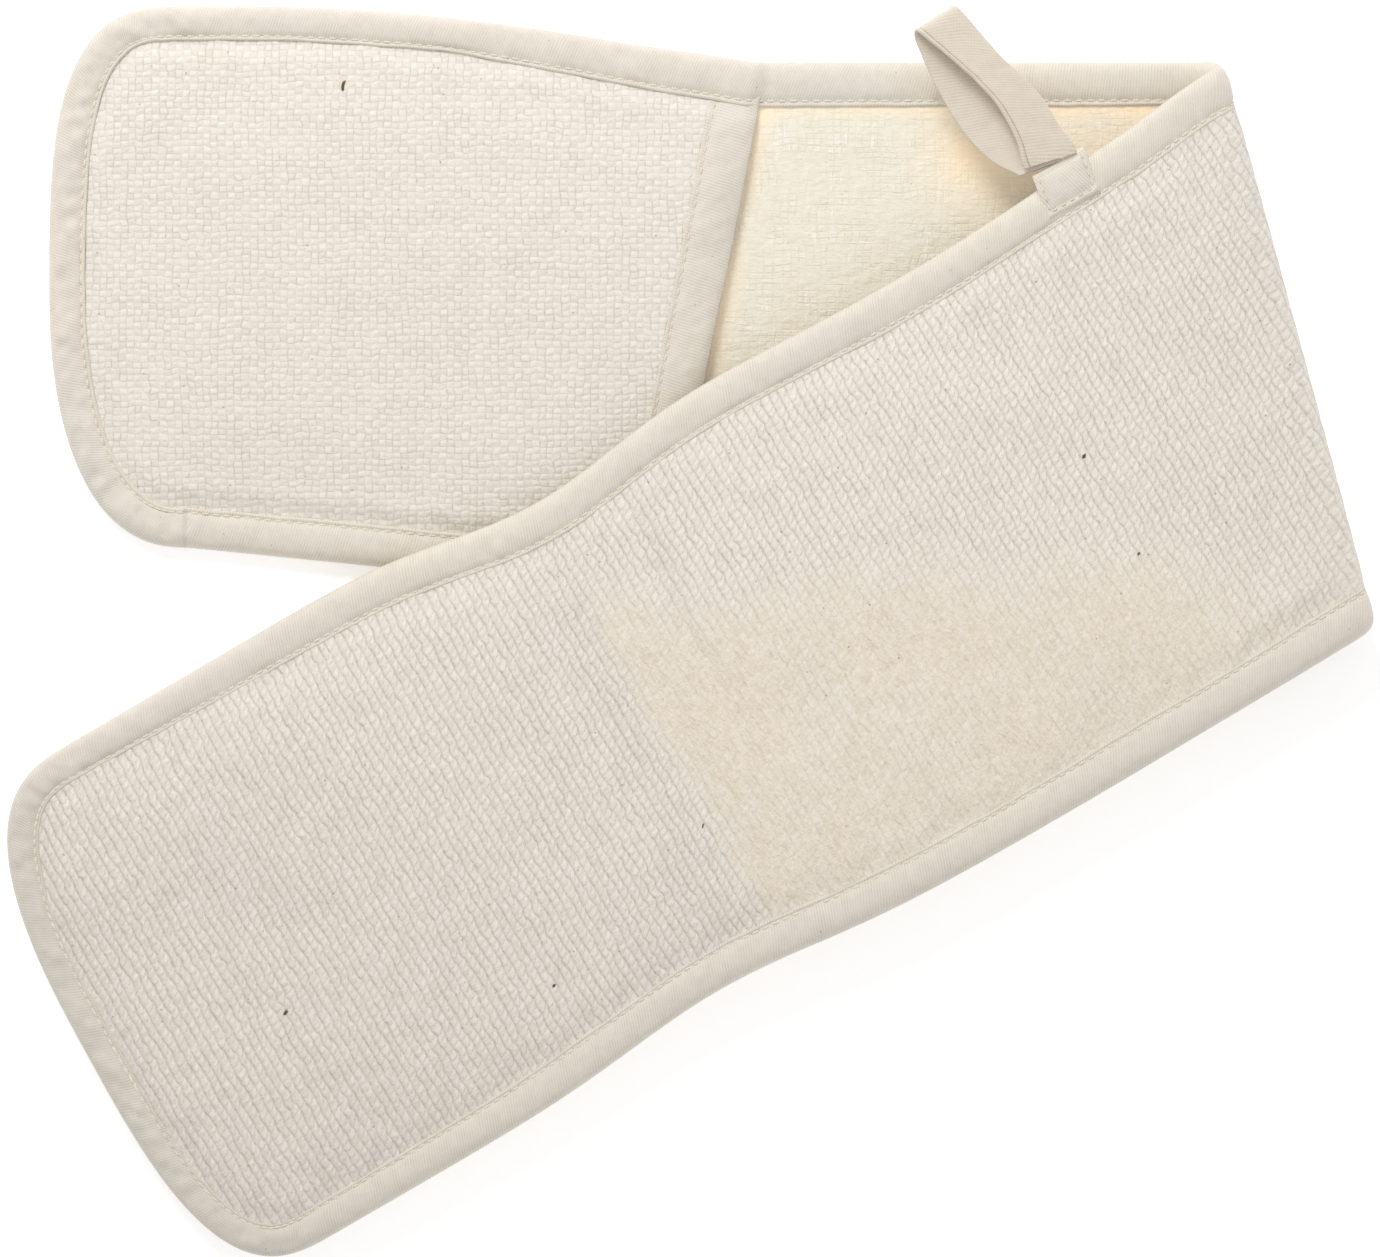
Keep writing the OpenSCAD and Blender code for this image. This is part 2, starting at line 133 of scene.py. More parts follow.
# ---------------------------------------------------------------- noise
def cell_random(i, j, seed):
    """A fixed random number, 0 to 1, for each whole-number cell."""
    i = np.asarray(i, np.int64)
    j = np.asarray(j, np.int64)
    h = (i * 374761393 + j * 668265263 + seed * 974634777) & 0xFFFFFFFF
    h = ((h ^ (h >> 13)) * 1274126177) & 0xFFFFFFFF
    h = ((h ^ (h >> 15)) * 2246822519) & 0xFFFFFFFF
    return ((h ^ (h >> 16)) & 0xFFFFFF) / float(0xFFFFFF)


def noise(x, y, seed):
    """Smooth value noise, -1 to 1."""
    i, j = np.floor(x), np.floor(y)
    fx, fy = x - i, y - j
    fx = fx * fx * fx * (fx * (fx * 6 - 15) + 10)
    fy = fy * fy * fy * (fy * (fy * 6 - 15) + 10)
    near = cell_random(i, j, seed) * (1 - fx) + cell_random(i + 1, j, seed) * fx
    far = cell_random(i, j + 1, seed) * (1 - fx) + cell_random(i + 1, j + 1, seed) * fx
    return (near * (1 - fy) + far * fy) * 2 - 1


def soft_noise(x, y, seed):
    """Two octaves of noise."""
    return (noise(x, y, seed) + 0.5 * noise(x * 2 + 7.3, y * 2 - 3.1, seed + 1)) / 1.5


# ---------------------------------------------------------------- outline of the opened strap
def top_y(x):
    """The +y edge, on the hanging loop's side."""
    lower = HALF_WIDTH + 16.3 * np.sin(math.pi / 2 * clamp((25 - x) / 140)) + 0.6
    lower = lower + 0.9 * smooth((x + 10) / 30) * (1 - smooth((x - 145) / 40))
    waist = 5.5 * bump(x, 265, 75)
    upper = HALF_WIDTH + 0.6 - waist - 8 * bump(x, 382, 38) - 0.8 * smooth((x - 410) / 60)
    upper = upper + 0.9 * (1 - smooth((x - 145) / 40)) + waist * (1 - smooth((x - 165) / 30))
    return np.where(x < FOLD_X, lower, upper)


def bottom_y(x):
    """The -y edge."""
    lower = -HALF_WIDTH + 0.1 * np.maximum(0, 70 - x)
    upper = -HALF_WIDTH - 0.5 * clamp((x - 190) / 40) + 5 * bump(x, 405, 40) - 0.8 * bump(x, 300, 60)
    return np.where(x < FOLD_X, lower, upper)


def mid_y(x):
    return (top_y(x) + bottom_y(x)) / 2


def half_y(x):
    return (top_y(x) - bottom_y(x)) / 2


def round_off(share, length, power):
    """How far a superellipse end falls back at a share, -1 to 1, of the half width."""
    return length * (1 - np.maximum(0, 1 - np.abs(share) ** power) ** (1 / power))


def power_a(share):
    """Roundness of end a: squarer on the loop's edge."""
    return 2.72 + 0.33 * np.tanh(3 * share)


def power_b(share):
    return 2.92 - 0.12 * np.tanh(3 * share)


def end_curve(end, count):
    """x, y of one rounded end, running anticlockwise."""
    share = np.sin(np.linspace(-math.pi / 2, math.pi / 2, count))
    if end == "b":
        y = mid_y(CAP_X_B) + half_y(CAP_X_B) * share
        return END_B - round_off(share, CAP_B, power_b(share)) - END_B_LEAN * y, y
    share = -share
    y = mid_y(CAP_X_A) + half_y(CAP_X_A) * share
    return END_A + round_off(share, CAP_A, power_a(share)), y


def slant(u):
    return np.interp(u, SLANT_U, SLANT)


# distance from the outline, on a regular grid
FIELD_X0, FIELD_Y0, FIELD_PITCH = -172.0, -84.0, 1.5


def distance_field():
    xs = np.arange(CAP_X_A, CAP_X_B, 0.5)
    outline = np.concatenate([
        vectors(xs, bottom_y(xs))[:, :2], vectors(*end_curve("b", 181))[:, :2],
        vectors(xs[::-1], top_y(xs[::-1]))[:, :2], vectors(*end_curve("a", 181))[:, :2]])
    gaps = np.linalg.norm(np.roll(outline, -1, 0) - outline, axis=1)
    outline = outline[gaps > 1e-6][::2]
    grid_x = np.arange(FIELD_X0, 570, FIELD_PITCH)
    grid_y = np.arange(FIELD_Y0, 98, FIELD_PITCH)
    field = np.zeros((len(grid_x), len(grid_y)))
    batch = 24  # columns done at once
    for k in range(0, len(grid_x), batch):
        cols = grid_x[k:k + batch]
        near = outline[(outline[:, 0] > cols[0] - 90) & (outline[:, 0] < cols[-1] + 90)]
        spots = np.stack(np.meshgrid(cols, grid_y, indexing="ij"), -1)
        squares = ((spots[:, :, None, :] - near[None, None]) ** 2).sum(-1)
        field[k:k + batch] = np.sqrt(squares.min(-1))
    return field


FIELD = distance_field()


def binding_width(x, side):
    """Visible width of the binding; side runs from 1 on the loop's edge to -1 on the other."""
    top = np.interp(x, [-167, -150, -60, 4, 30, 190, 230, 450, 528, 564],
                    [10.4, 9.8, 9.8, 12.2, 12.3, 12.0, 11.3, 11.2, 9.6, 9.0])
    bottom = np.interp(x, [-167, -150, -60, 0, 190, 230, 450, 528, 564],
                       [10.4, 10.8, 11.3, 11.4, 12.0, 11.2, 10.8, 9.8, 9.0])
    share = smooth((side + 1) / 2)
    return bottom * (1 - share) + top * share


def rim_depth(x, y):
    """Distance in from the edge, shifted so that the binding's inner edge is always at 12."""
    side = np.clip((y - mid_y(x)) / 25, -1, 1)
    inset = bilinear(FIELD, x, y, FIELD_X0, FIELD_Y0, FIELD_PITCH)
    return inset + 12 - binding_width(x, side)


# ---------------------------------------------------------------- the fold
# heading of the middle layer along its length, from flat (0) to turned over (pi)
CURVE_Q = np.linspace(0, ROLL, 2001)


def curve_heading(swing):
    turn = CURVE_Q / ROLL
    return math.pi * turn + swing * np.sin(4 * math.pi * turn)


def solve_swing():
    """The swing at which the curve rises by FOLD_RISE, by bisection."""
    low, high = -0.6, 0.6
    for _ in range(50):
        middle = (low + high) / 2
        climb = np.sin(curve_heading(middle))
        if (np.diff(CURVE_Q) * (climb[1:] + climb[:-1]) / 2.0).sum() > FOLD_RISE:
            high = middle
        else:
            low = middle
    return (low + high) / 2


def run_along(slope):
    step = CURVE_Q[1] - CURVE_Q[0]
    return np.concatenate([[0], np.cumsum((slope[1:] + slope[:-1]) / 2 * step)])


CURVE_HEADING = curve_heading(solve_swing())
CURVE_FORWARD = run_along(np.cos(CURVE_HEADING))
CURVE_UP = run_along(np.sin(CURVE_HEADING))


def fold_q(x, y):
    """Distance past the start of the fold, square to it."""
    return (x - FOLD_X) * SKEW_COS + y * SKEW_SIN


def along_fold(q, before, values, after):
    return np.where(q <= 0, before, np.where(q >= ROLL, after, np.interp(q, CURVE_Q, values)))


def heading(q):
    return along_fold(q, 0.0, CURVE_HEADING, math.pi)


def on_upper(x, y):
    """1 on the upper limb, 0 on the lower, easing through the fold."""
    return smooth(fold_q(x, y) / ROLL)


CURL_SQUARE = 1 / math.sqrt(1 + LEAN_B ** 2)  # turns an x distance into one square to the line


def past_curl_b(x, y):
    return (x - LEAN_B * y - CURL_B) * CURL_SQUARE


# Weights between the two bodies a mesh follows
def weight_end_a(x, y):
    return 1 - smooth((x - (CURL_A - FLEX)) / (2 * FLEX))


def weight_end_b(x, y):
    return smooth((past_curl_b(x, y) + FLEX) / (2 * FLEX))


def weight_arc(k):
    """Share of the k-th 45 degree step of the fold's turn."""
    return lambda x, y: (np.degrees(heading(fold_q(x, y))) - 45 * k) / 45


def weight_lip_a(x, y):
    start = smooth((x + 76) / 52)
    to_top = (64 - (x + 76) * 0.135) - y
    to_bottom = ((y + 33) - 0.59 * (x + 38)) * 0.861
    ends = smooth((to_top - 1) / 28) * smooth((to_bottom - 1) / 25)
    return start * ends * smooth((y + 33) / 24)


def weight_lip_b(x, y):
    start = smooth((464 - x) / 52)
    to_slope = ((15 + 0.683 * (x - 371)) - y) * 0.826
    return start * smooth((y + 47) / 26) * smooth((to_slope - 1) / 26) * smooth((47 - y) / 20)


def place(x, y, z):
    """Point of the opened strap to the folded frame, in mm."""
    x, y, z = np.broadcast_arrays(x, y, z)
    # the upper limb's end is turned about a line across it, at level -hinge
    hinge = 0.4
    dist = past_curl_b(x, y)
    angle = DROOP * weight_end_b(x, y)
    turned = dist * np.cos(angle) - (z + hinge) * np.sin(angle)
    level = dist * np.sin(angle) + (z + hinge) * np.cos(angle) - hinge
    far = dist > -FLEX
    shift = np.where(far, turned - dist, 0)
    x = x + shift * CURL_SQUARE
    y = y - shift * LEAN_B * CURL_SQUARE
    z = np.where(far, level, z)
    # the fold
    q = fold_q(x, y)
    sideways = (x - FOLD_X) * SKEW_SIN - y * SKEW_COS
    turn = heading(q)
    forward = along_fold(q, q, CURVE_FORWARD, CURVE_FORWARD[-1] - (q - ROLL))
    forward = forward + (MID_Z - z) * np.sin(turn)
    up = MID_Z + along_fold(q, 0, CURVE_UP, FOLD_RISE) - (MID_Z - z) * np.cos(turn)
    return vectors(FOLD_X + forward * SKEW_COS + sideways * SKEW_SIN,
                   forward * SKEW_SIN - sideways * SKEW_COS, up)


def middle_point(x, y=0.0):
    """One folded point of the middle layer."""
    return tuple(float(v) for v in place(x, y, MID_Z))


# ---------------------------------------------------------------- weaves
# Each returns the height 0..1, the two cell coordinates and a tint per thread.
GOLDEN = 0.618034  # staggers the nubs from one cord to the next


def weave_ribs(x, y):
    """Soft cords across the strap: the first coordinate counts cords, the second their nubs."""
    cords = x / 2.5 + 0.12 * noise(x / 16, y / 13, 5) + 0.17 * noise(x / 3.1, y / 2.3, 8)
    nubs = y / 2.1 + 0.25 * noise(x / 7, y / 9, 6) + 0.16 * noise(x / 2.6, y / 2.4, 9)
    cord = np.floor(cords)
    in_cord = cords - cord
    along = nubs + fraction(GOLDEN * cord * cord) * 3 + 0.7 * in_cord
    cell = np.floor(along)
    in_cell = along - cell
    chance = cell_random(cord, cell, 11)
    rib = np.sqrt(np.maximum(0, 1 - (2 * in_cord - 1) ** 2))
    nub = np.maximum(0, 1 - np.abs(2 * in_cell - 1) ** 2.2)
    height = rib * (0.55 + 0.45 * nub * (0.45 + 0.55 * chance))
    fill = 0.5 * cell_random(cord, np.floor(along / 1.6), 17)
    return np.maximum(height, fill), cords, nubs, chance * 2 - 1


def weave_basket(x, y):
    """A plain weave of thick soft threads."""
    cols = x / 2.08 + 0.26 * noise(x / 12, y / 20, 21) + 0.19 * noise(x / 3.0, y / 2.1, 24)
    rows = y / 1.78 + 0.26 * noise(x / 16, y / 12, 22) + 0.24 * noise(x / 2.4, y / 3.0, 25)
    i, j = np.floor(cols), np.floor(rows)
    over = ((i + j) % 2) < 0.5
    chance = cell_random(i, j, 31)
    across = np.where(over, cols - i, rows - j)
    along = np.where(over, rows - j, cols - i)
    profile = np.sqrt(np.maximum(0, 1 - np.abs(2 * across - 1) ** 2.4))
    arch = 1 - 0.55 * (2 * along - 1) ** 2
    height = profile * arch * (0.6 + 0.4 * chance)
    fill = 0.55 * cell_random(i + 5, j, 37)
    return np.maximum(height, fill), cols, rows, chance * 2 - 1


def weave_terry(x, y):
    cols = x / 2.4 + 0.4 * noise(x / 7, y / 5, 45)
    rows = y / 1.3 + 0.5 * noise(x / 6, y / 5, 41)
    height = 0.5 + 0.5 * noise(cols * 1.1, rows * 1.2, 47)
    return height, cols, rows, noise(cols * 0.8, rows * 0.8, 49)


# ---------------------------------------------------------------- surfaces of the opened strap
SWELL = {}


def pressed_area(x, y):
    """Where the upper limb's cords are pressed smooth: a band that fades to the fold."""
    line = np.interp(x, [200, 233, 332, 385], [-46, -36, 9, 40])
    wander = 7 * soft_noise(x / 24, y / 22, 67)
    near_mouth = smooth((388 + 2.5 * noise(y / 14, 0, 69) - x) / 13)
    band = smooth((line + wander - y + 17) / 34) * (0.30 + 0.70 * smooth((x - 205) / 55))
    return clamp(near_mouth * band * (0.82 + 0.36 * soft_noise(x / 20, y / 18, 68)))


def tape_groove(x, y):
    """The faint groove over the edge of the hidden mouth tape."""
    past = x - (362 - 0.07 * (y - 20) + 1.2 * noise(y / 18, 0, 66))
    return bump(past, 0, 2.6) * smooth((62 - y) / 16) * smooth((y + 40) / 40)


def outer_surface(x, y):
    """Level of the outer face, its weave coordinates and its tint."""
    depth = rim_depth(x, y)
    upper = on_upper(x, y)
    near_end = smooth((x - 380) / 120)
    edge = smooth((depth - 11.6) / 9.0)
    puff = upper * (edge * (1.25 + 0.95 * near_end) + 0.9 * smooth((depth - 14) / 32))
    if "outer" in SWELL:
        swell = SWELL["outer"](x, y) * (1.9 + 0.6 * near_end)
        puff = puff + upper * 0.6 * (swell - puff) * smooth((x - 210) / 40) * edge
    # soft dips and creases, and a shallow step over the hidden pocket's mouth
    past = x - (MOUTH_B + LEAN_B * y)
    step = 0.85 * smooth((past - 8) / 10) - 0.8 * tape_groove(x, y)
    step = step + 0.4 * bump(past, 2, 7) - 0.35 * bump(past, 27, 5)
    crease = 0.5 * bump(past, 38 + 4 * noise(y / 30, 0, 61), 4.5)
    crease = crease - 0.4 * bump(past, -26 + 6 * noise(y / 26, 3, 62), 7)
    soft = 0.7 * soft_noise(x / 46, y / 40, 63) + 0.35 * soft_noise(x / 17, y / 21, 64)
    puff = puff + upper * edge * (soft + (step + crease) * smooth((depth - 12) / 18))
    # little tucks that run in from the seam
    tuck = 0.30 * noise((x + 0.8 * y) / 5.5, np.sign(y), 65) * bump(depth, 15, 4.5)
    puff = puff + upper * tuck
    height, cords, nubs, tint = weave_ribs(x, y)
    pressed = pressed_area(x, y) * upper
    relief = 0.46 * smooth((depth - 10.8) / 2.4) * (0.5 + 0.5 * upper) * (1 - 0.72 * pressed)
    turn = bump(fold_q(x, y), ROLL / 2, 11)
    puff, relief = puff * (1 - 0.85 * turn), relief * (1 - 0.35 * turn)
    z = -puff - relief * (height - 0.55)
    # under the binding the face runs level; on the lower limb it stays above the floor
    open_face = smooth((depth - 10.9) / 1.3)
    z = np.where(upper < 0.02, np.maximum(z + 0.25, 0.12), z) * open_face \
        + (1.0 - 0.95 * upper) * (1 - open_face)
    return z, vectors(cords, nubs, pressed), tint


def lining_surface(x, y):
    """Level of the lining, its weave coordinates with the mask of its painted warm light, and its tint."""
    depth = rim_depth(x, y)
    height, cols, rows, tint = weave_terry(x, y)
    soft = 0.35 * soft_noise(x / 40, y / 34, 71) * smooth((depth - 13) / 20)
    puff = 0.55 * smooth((depth - 12) / 12)
    past_a = x - (MOUTH_A + LEAN_A * y)
    under_pocket = smooth(-past_a / 8) + smooth((x - MOUTH_B - LEAN_B * y) / 8)
    z = SEAT_Z + (puff + soft) * (1 - 0.85 * clamp(under_pocket)) \
        + 0.20 * (height - 0.5) * smooth((depth - 11) / 2)
    # painted warm light, standing in for light through the cloth: beside the mouth, along the +y seam,
    # before the fold and in one spot
    warm = 0.85 * smooth((8 - past_a) / 8) * (past_a > -20) * (0.7 + 0.3 * noise(y / 9, x / 20, 75))
    warm = warm + 0.55 * smooth((17 - depth) / 5) * (y > 0) * smooth((175 - x) / 20)
    before_fold = smooth((x - 78) / 50) * smooth((168 - x) / 18)
    warm = warm + 0.5 * before_fold * (0.6 + 0.4 * noise(x / 12, y / 9, 76))
    warm = warm + 0.9 * np.exp(-(((x - 88) / 14) ** 2) - ((y - 52) / 12) ** 2)
    return z, vectors(cols, rows, clamp(warm)), tint


POCKET_RISE = 5.0
POCKET_SEED = {"a": 81, "b": 91}
POCKET_SHIFT = {"a": 0, "b": 400}  # moves the weave of pocket b away from that of pocket a


def crown_shape(depth):
    return 0.42 * smooth((depth - 11.6) / 8.0) + 0.58 * smooth((depth - 13) / 24.0)


def pocket_level(x, y, which):
    """Level of a pocket panel without its weave, and the panel's thickness."""
    depth = rim_depth(x, y)
    seed = POCKET_SEED[which]
    shape = crown_shape(depth)
    soft = 0.42 * soft_noise(x / 38, y / 33, seed) + 0.22 * soft_noise(x / 14, y / 16, seed + 1)
    tuck = 0.26 * noise((x + 0.8 * y) / 5.0, np.sign(y), seed + 2) * bump(depth, 15, 4)
    rise = POCKET_RISE * shape + (soft - 0.35) * smooth((depth - 14) / 20) + tuck
    if which in SWELL:
        rise = rise + SWELL[which](x, y) * smooth((depth - 12.5) / 8)
    return POCKET_Z + np.minimum(rise, 5.35), 1.42 + 0.2 * shape


def pocket_surface(x, y, which):
    """Levels of the panel's face and back, its weave coordinates and its tint."""
    level, thickness = pocket_level(x, y, which)
    height, cols, rows, tint = weave_basket(x + POCKET_SHIFT[which], y)
    z = level + 0.27 * (height - 0.5) * smooth((rim_depth(x, y) - 11) / 2.2)
    return z, np.maximum(z - thickness, 3.56), vectors(cols, rows), tint


# ---------------------------------------------------------------- materials
def linear(rgb):
    """sRGB 0..255 to a linear colour."""
    return tuple((v / 255) / 12.92 if v / 255 <= 0.04045 else ((v / 255 + 0.055) / 1.055) ** 2.4
                 for v in rgb) + (1.0,)


class Nodes:
    """A material with a Principled surface, and short calls that add nodes to it."""

    def __init__(self, name):
        self.mat = bpy.data.materials.new(name)
        self.mat.use_nodes = True
        self.tree = self.mat.node_tree
        self.tree.nodes.clear()
        output = self.new("ShaderNodeOutputMaterial")
        self.bsdf = self.new("ShaderNodeBsdfPrincipled")
        self.link(self.bsdf.outputs[0], output.inputs[0])

    def new(self, kind, **settings):
        node = self.tree.nodes.new(kind)
        for key, value in settings.items():
            setattr(node, key, value)
        return node

    def link(self, output, socket):
        self.tree.links.new(output, socket)

    def feed(self, socket, value):
        """Sets a plain value or links an output."""
        if isinstance(value, (int, float, tuple)):
            socket.default_value = value
        else:
            self.link(value, socket)

    def attribute(self, name, output="Fac"):
        return self.new("ShaderNodeAttribute", attribute_name=name).outputs[output]

    def math(self, operation, *values, clamped=False):
        node = self.new("ShaderNodeMath", operation=operation, use_clamp=clamped)
        for socket, value in zip(node.inputs, values):
            self.feed(socket, value)
        return node.outputs[0]

    def add(self, first, second):
        return self.math("ADD", first, second)

    def mul(self, first, second):
        return self.math("MULTIPLY", first, second)

    def mul_add(self, first, second, third):
        return self.math("MULTIPLY_ADD", first, second, third)

    def larger(self, first, second):
        return self.math("MAXIMUM", first, second)

    def fall(self, value):
        """1 - value; a subtraction leaves its third input unread."""
        return self.math("SUBTRACT", 1.0, value, 1.0)

    def off_middle(self, share):
        """Distance from a cell's middle: 0 there, 1 at its sides."""
        return self.math("ABSOLUTE", self.mul_add(share, 2.0, -1.0))

    def mix(self, factor, first, second):
        node = self.new("ShaderNodeMix", data_type="RGBA", clamp_factor=True)
        for index, value in ((0, factor), (6, first), (7, second)):
            self.feed(node.inputs[index], value)
        return node.outputs[2]

    def ramp(self, value, low, high, to=(0.0, 1.0)):
        node = self.new("ShaderNodeMapRange", interpolation_type="SMOOTHSTEP")
        for socket, item in zip(node.inputs, (value, low, high, *to)):
            self.feed(socket, item)
        return node.outputs[0]

    def noise(self, position, scale, detail=2.0, rough=0.5, stretch=None, w=0.0):
        if stretch:
            stretched = self.new("ShaderNodeVectorMath", operation="MULTIPLY")
            self.link(position, stretched.inputs[0])
            stretched.inputs[1].default_value = stretch
            position = stretched.outputs[0]
        node = self.new("ShaderNodeTexNoise", noise_dimensions="4D")
        for key, value in (("Vector", position), ("Scale", scale), ("Detail", detail),
                           ("Roughness", rough), ("W", w)):
            self.feed(node.inputs[key], value)
        return node.outputs[0]

    def combine(self, x, y):
        node = self.new("ShaderNodeCombineXYZ")
        self.link(x, node.inputs[0])
        self.link(y, node.inputs[1])
        return node.outputs[0]

    def separate(self, vector):
        node = self.new("ShaderNodeSeparateXYZ")
        self.link(vector, node.inputs[0])
        return node.outputs

    def cell_chance(self, x, y):
        node = self.new("ShaderNodeTexWhiteNoise", noise_dimensions="2D")
        self.link(self.combine(x, y), node.inputs[0])
        return node.outputs[0]


# pale colour for the random thread tints and for the painted highlights
HIGHLIGHT = (1, 0.985, 0.94, 1)


# Each pattern takes the cloth position, the colour so far and the weave coordinates, and gives
# the new colour, the weight of the gap colour (painted shade in the gaps) and the height for the bump.
def ribs_pattern(m, position, colour, weave):
    """Nubbly cords, fading to short wavy strokes where the cloth is pressed smooth."""
    cords, nubs, pressed = weave
    cord = m.math("FLOOR", cords)
    in_cord = m.math("FRACT", cords)
    stagger = m.mul(m.math("FRACT", m.mul(m.mul(cord, cord), GOLDEN)), 3.0)
    along = m.add(stagger, m.mul_add(in_cord, 0.7, nubs))
    off_cord = m.off_middle(in_cord)
    off_nub = m.off_middle(m.math("FRACT", along))
    rib = m.math("SQRT", m.fall(m.mul(off_cord, off_cord)))
    nub = m.fall(m.math("POWER", off_nub, 2.2))
    # painted shade in the gaps between cords, broken into dashes, and fainter in those between nubs
    gap_cell = m.combine(m.mul(m.math("FLOOR", m.add(cords, 0.5)), 7.31), m.mul(along, 0.62))
    vary = m.noise(gap_cell, scale=1.0, detail=1, w=1.0)
    dash = m.ramp(off_nub, 0.55, 1.0, to=(1.0, 0.25))
    dark = m.mul(m.mul(m.ramp(off_cord, 0.42, 1.0), dash), m.ramp(vary, 0.38, 0.62, to=(0.10, 1.0)))
    gaps = m.larger(dark, m.mul(m.ramp(off_nub, 0.70, 1.0), 0.16))
    # height: rib, nub, twisted strands and lumps
    strand = m.math("SINE", m.mul(m.mul_add(in_cord, 0.9, along), 2 * math.pi * 2.0))
    lump = m.noise(position, scale=0.62, detail=3, rough=0.6, stretch=(0.8, 1.1, 1.0), w=51.0)
    height = m.mul_add(rib, 0.42, m.mul(m.mul(nub, rib), 0.34))
    height = m.mul_add(strand, 0.045, height)
    height = m.mul_add(lump, 0.85, height)
    # painted highlight on the crests of the nubs
    crest = m.mul(m.mul(nub, rib), m.ramp(lump, 0.42, 0.62, to=(0.0, 0.30)))
    colour = m.mix(crest, colour, HIGHLIGHT)
    # the pressed area
    colour = m.mix(m.mul(pressed, 0.75), colour, linear((232, 218, 196)))
    unpressed = m.mul_add(pressed, -0.82, 1.0)
    gaps = m.mul(gaps, unpressed)
    stroke = m.noise(position, scale=0.60, rough=0.55, stretch=(1.5, 0.65, 1.0), w=21.0)
    stroke_dark = m.mul(pressed, m.ramp(stroke, 0.34, 0.52, to=(0.30, 0.0)))
    colour = m.mix(stroke_dark, colour, linear((206, 189, 164)))
    height = m.add(m.mul(height, unpressed), m.mul(stroke, m.mul(pressed, 1.9)))
    return colour, gaps, height


def basket_pattern(m, position, colour, weave):
    """Thick threads passing over and under one another."""
    cols, rows = weave[0], weave[1]
    col = m.math("FLOOR", cols)
    off_col = m.off_middle(m.math("FRACT", cols))
    off_row = m.off_middle(m.math("FRACT", rows))
    parity = m.math("FRACT", m.mul(m.add(col, m.math("FLOOR", rows)), 0.5))
    over = m.math("LESS_THAN", parity, 0.25)
    under = m.math("SUBTRACT", 1.0, over)
    across = m.add(m.mul(over, off_col), m.mul(under, off_row))
    along = m.add(m.mul(over, off_row), m.mul(under, off_col))
    profile = m.math("SQRT", m.fall(m.math("POWER", across, 2.4)))
    arch = m.math("SUBTRACT", 1.0, m.mul(m.mul(along, along), 0.55))
    lump = m.noise(position, scale=0.6, rough=0.6, w=51.0)
    height = m.mul_add(lump, 0.85, m.mul(m.mul(profile, arch), 0.42))
    # painted shade in the gaps beside the threads, each of its own strength
    chance_col = m.cell_chance(m.math("FLOOR", m.add(cols, 0.5)), m.math("FLOOR", rows))
    chance_row = m.cell_chance(col, m.math("FLOOR", m.add(rows, 0.5)))
    gaps_col = m.mul(m.ramp(off_col, 0.66, 1.0), m.ramp(chance_col, 0.35, 0.80, to=(0.10, 1.0)))
    gaps_row = m.mul(m.ramp(off_row, 0.70, 1.0), m.ramp(chance_row, 0.45, 0.95, to=(0.02, 0.72)))
    # painted highlight along the crowns of one set of threads
    colour = m.mix(m.mul(m.mul(profile, under), 0.22), colour, HIGHLIGHT)
    return colour, m.larger(gaps_col, gaps_row), height


def terry_pattern(m, position, colour, weave):
    """Looped nap over an open ground weave that shows through in places."""
    nap = m.noise(position, scale=0.62, rough=0.6, stretch=(0.7, 1.35, 1.0), w=31.0)
    nap_gaps = m.ramp(nap, 0.30, 0.52, to=(1.0, 0.0))
    off_row = m.off_middle(m.math("FRACT", m.mul(weave[1], 0.72)))
    off_col = m.off_middle(m.math("FRACT", m.mul(weave[0], 1.15)))
    seen = m.ramp(m.noise(position, scale=0.16, w=71.0), 0.36, 0.62, to=(0.15, 1.0))
    net = m.mul(m.larger(m.ramp(off_col, 0.62, 1.0), m.ramp(off_row, 0.62, 1.0)), seen)
    slub_y = m.noise(position, scale=0.55, rough=0.55, stretch=(0.28, 1.5, 1.0), w=77.0)
    slub_x = m.noise(position, scale=0.55, rough=0.55, stretch=(1.5, 0.28, 1.0), w=79.0)
    thread = m.mul(m.ramp(m.larger(slub_y, slub_x), 0.56, 0.68, to=(0.0, 0.55)), seen)
    # painted shade in the gaps of the nap and where the open ground shows through
    gaps = m.larger(m.mul(nap_gaps, 0.7), net)
    colour = m.mix(thread, colour, HIGHLIGHT)
    height = m.mul_add(thread, 0.5, m.mul_add(net, -0.35, m.mul(nap, 1.0)))
    return colour, gaps, height


def tape_pattern(m, position, colour, weave):
    """Flat tape: painted shade, dark only where the relief attribute is low (stitch grooves and the
    binding's very edge).
    """
    relief = m.attribute("relief")
    return colour, m.ramp(relief, 0.0, 0.6, to=(1.0, 0.0)), m.mul(relief, 0.0)


def add_twill(m, position, medium, colour, height, gap, strength, pitch):
    """Fine diagonal lines at a pitch in mm."""
    x, y = m.separate(position)[:2]
    wave = m.mul_add(medium, 1.5, m.mul_add(y, 0.30, x))
    diagonal = m.math("SINE", m.mul(wave, 2 * math.pi / pitch))
    cross = m.math("SINE", m.mul(y, 2 * math.pi / (pitch * 0.8)))
    twill = m.mul_add(diagonal, 0.5, m.mul(m.mul(diagonal, cross), 0.45))
    patches = m.noise(position, scale=0.35, rough=0.6, w=41.0)
    seen = m.ramp(patches, 0.3, 0.7, to=(0.45, 1.3))
    colour = m.mix(m.mul(m.ramp(twill, -0.7, 0.4, to=(strength, 0.0)), seen), colour, linear(gap))
    return colour, m.mul_add(twill, 0.28, height)


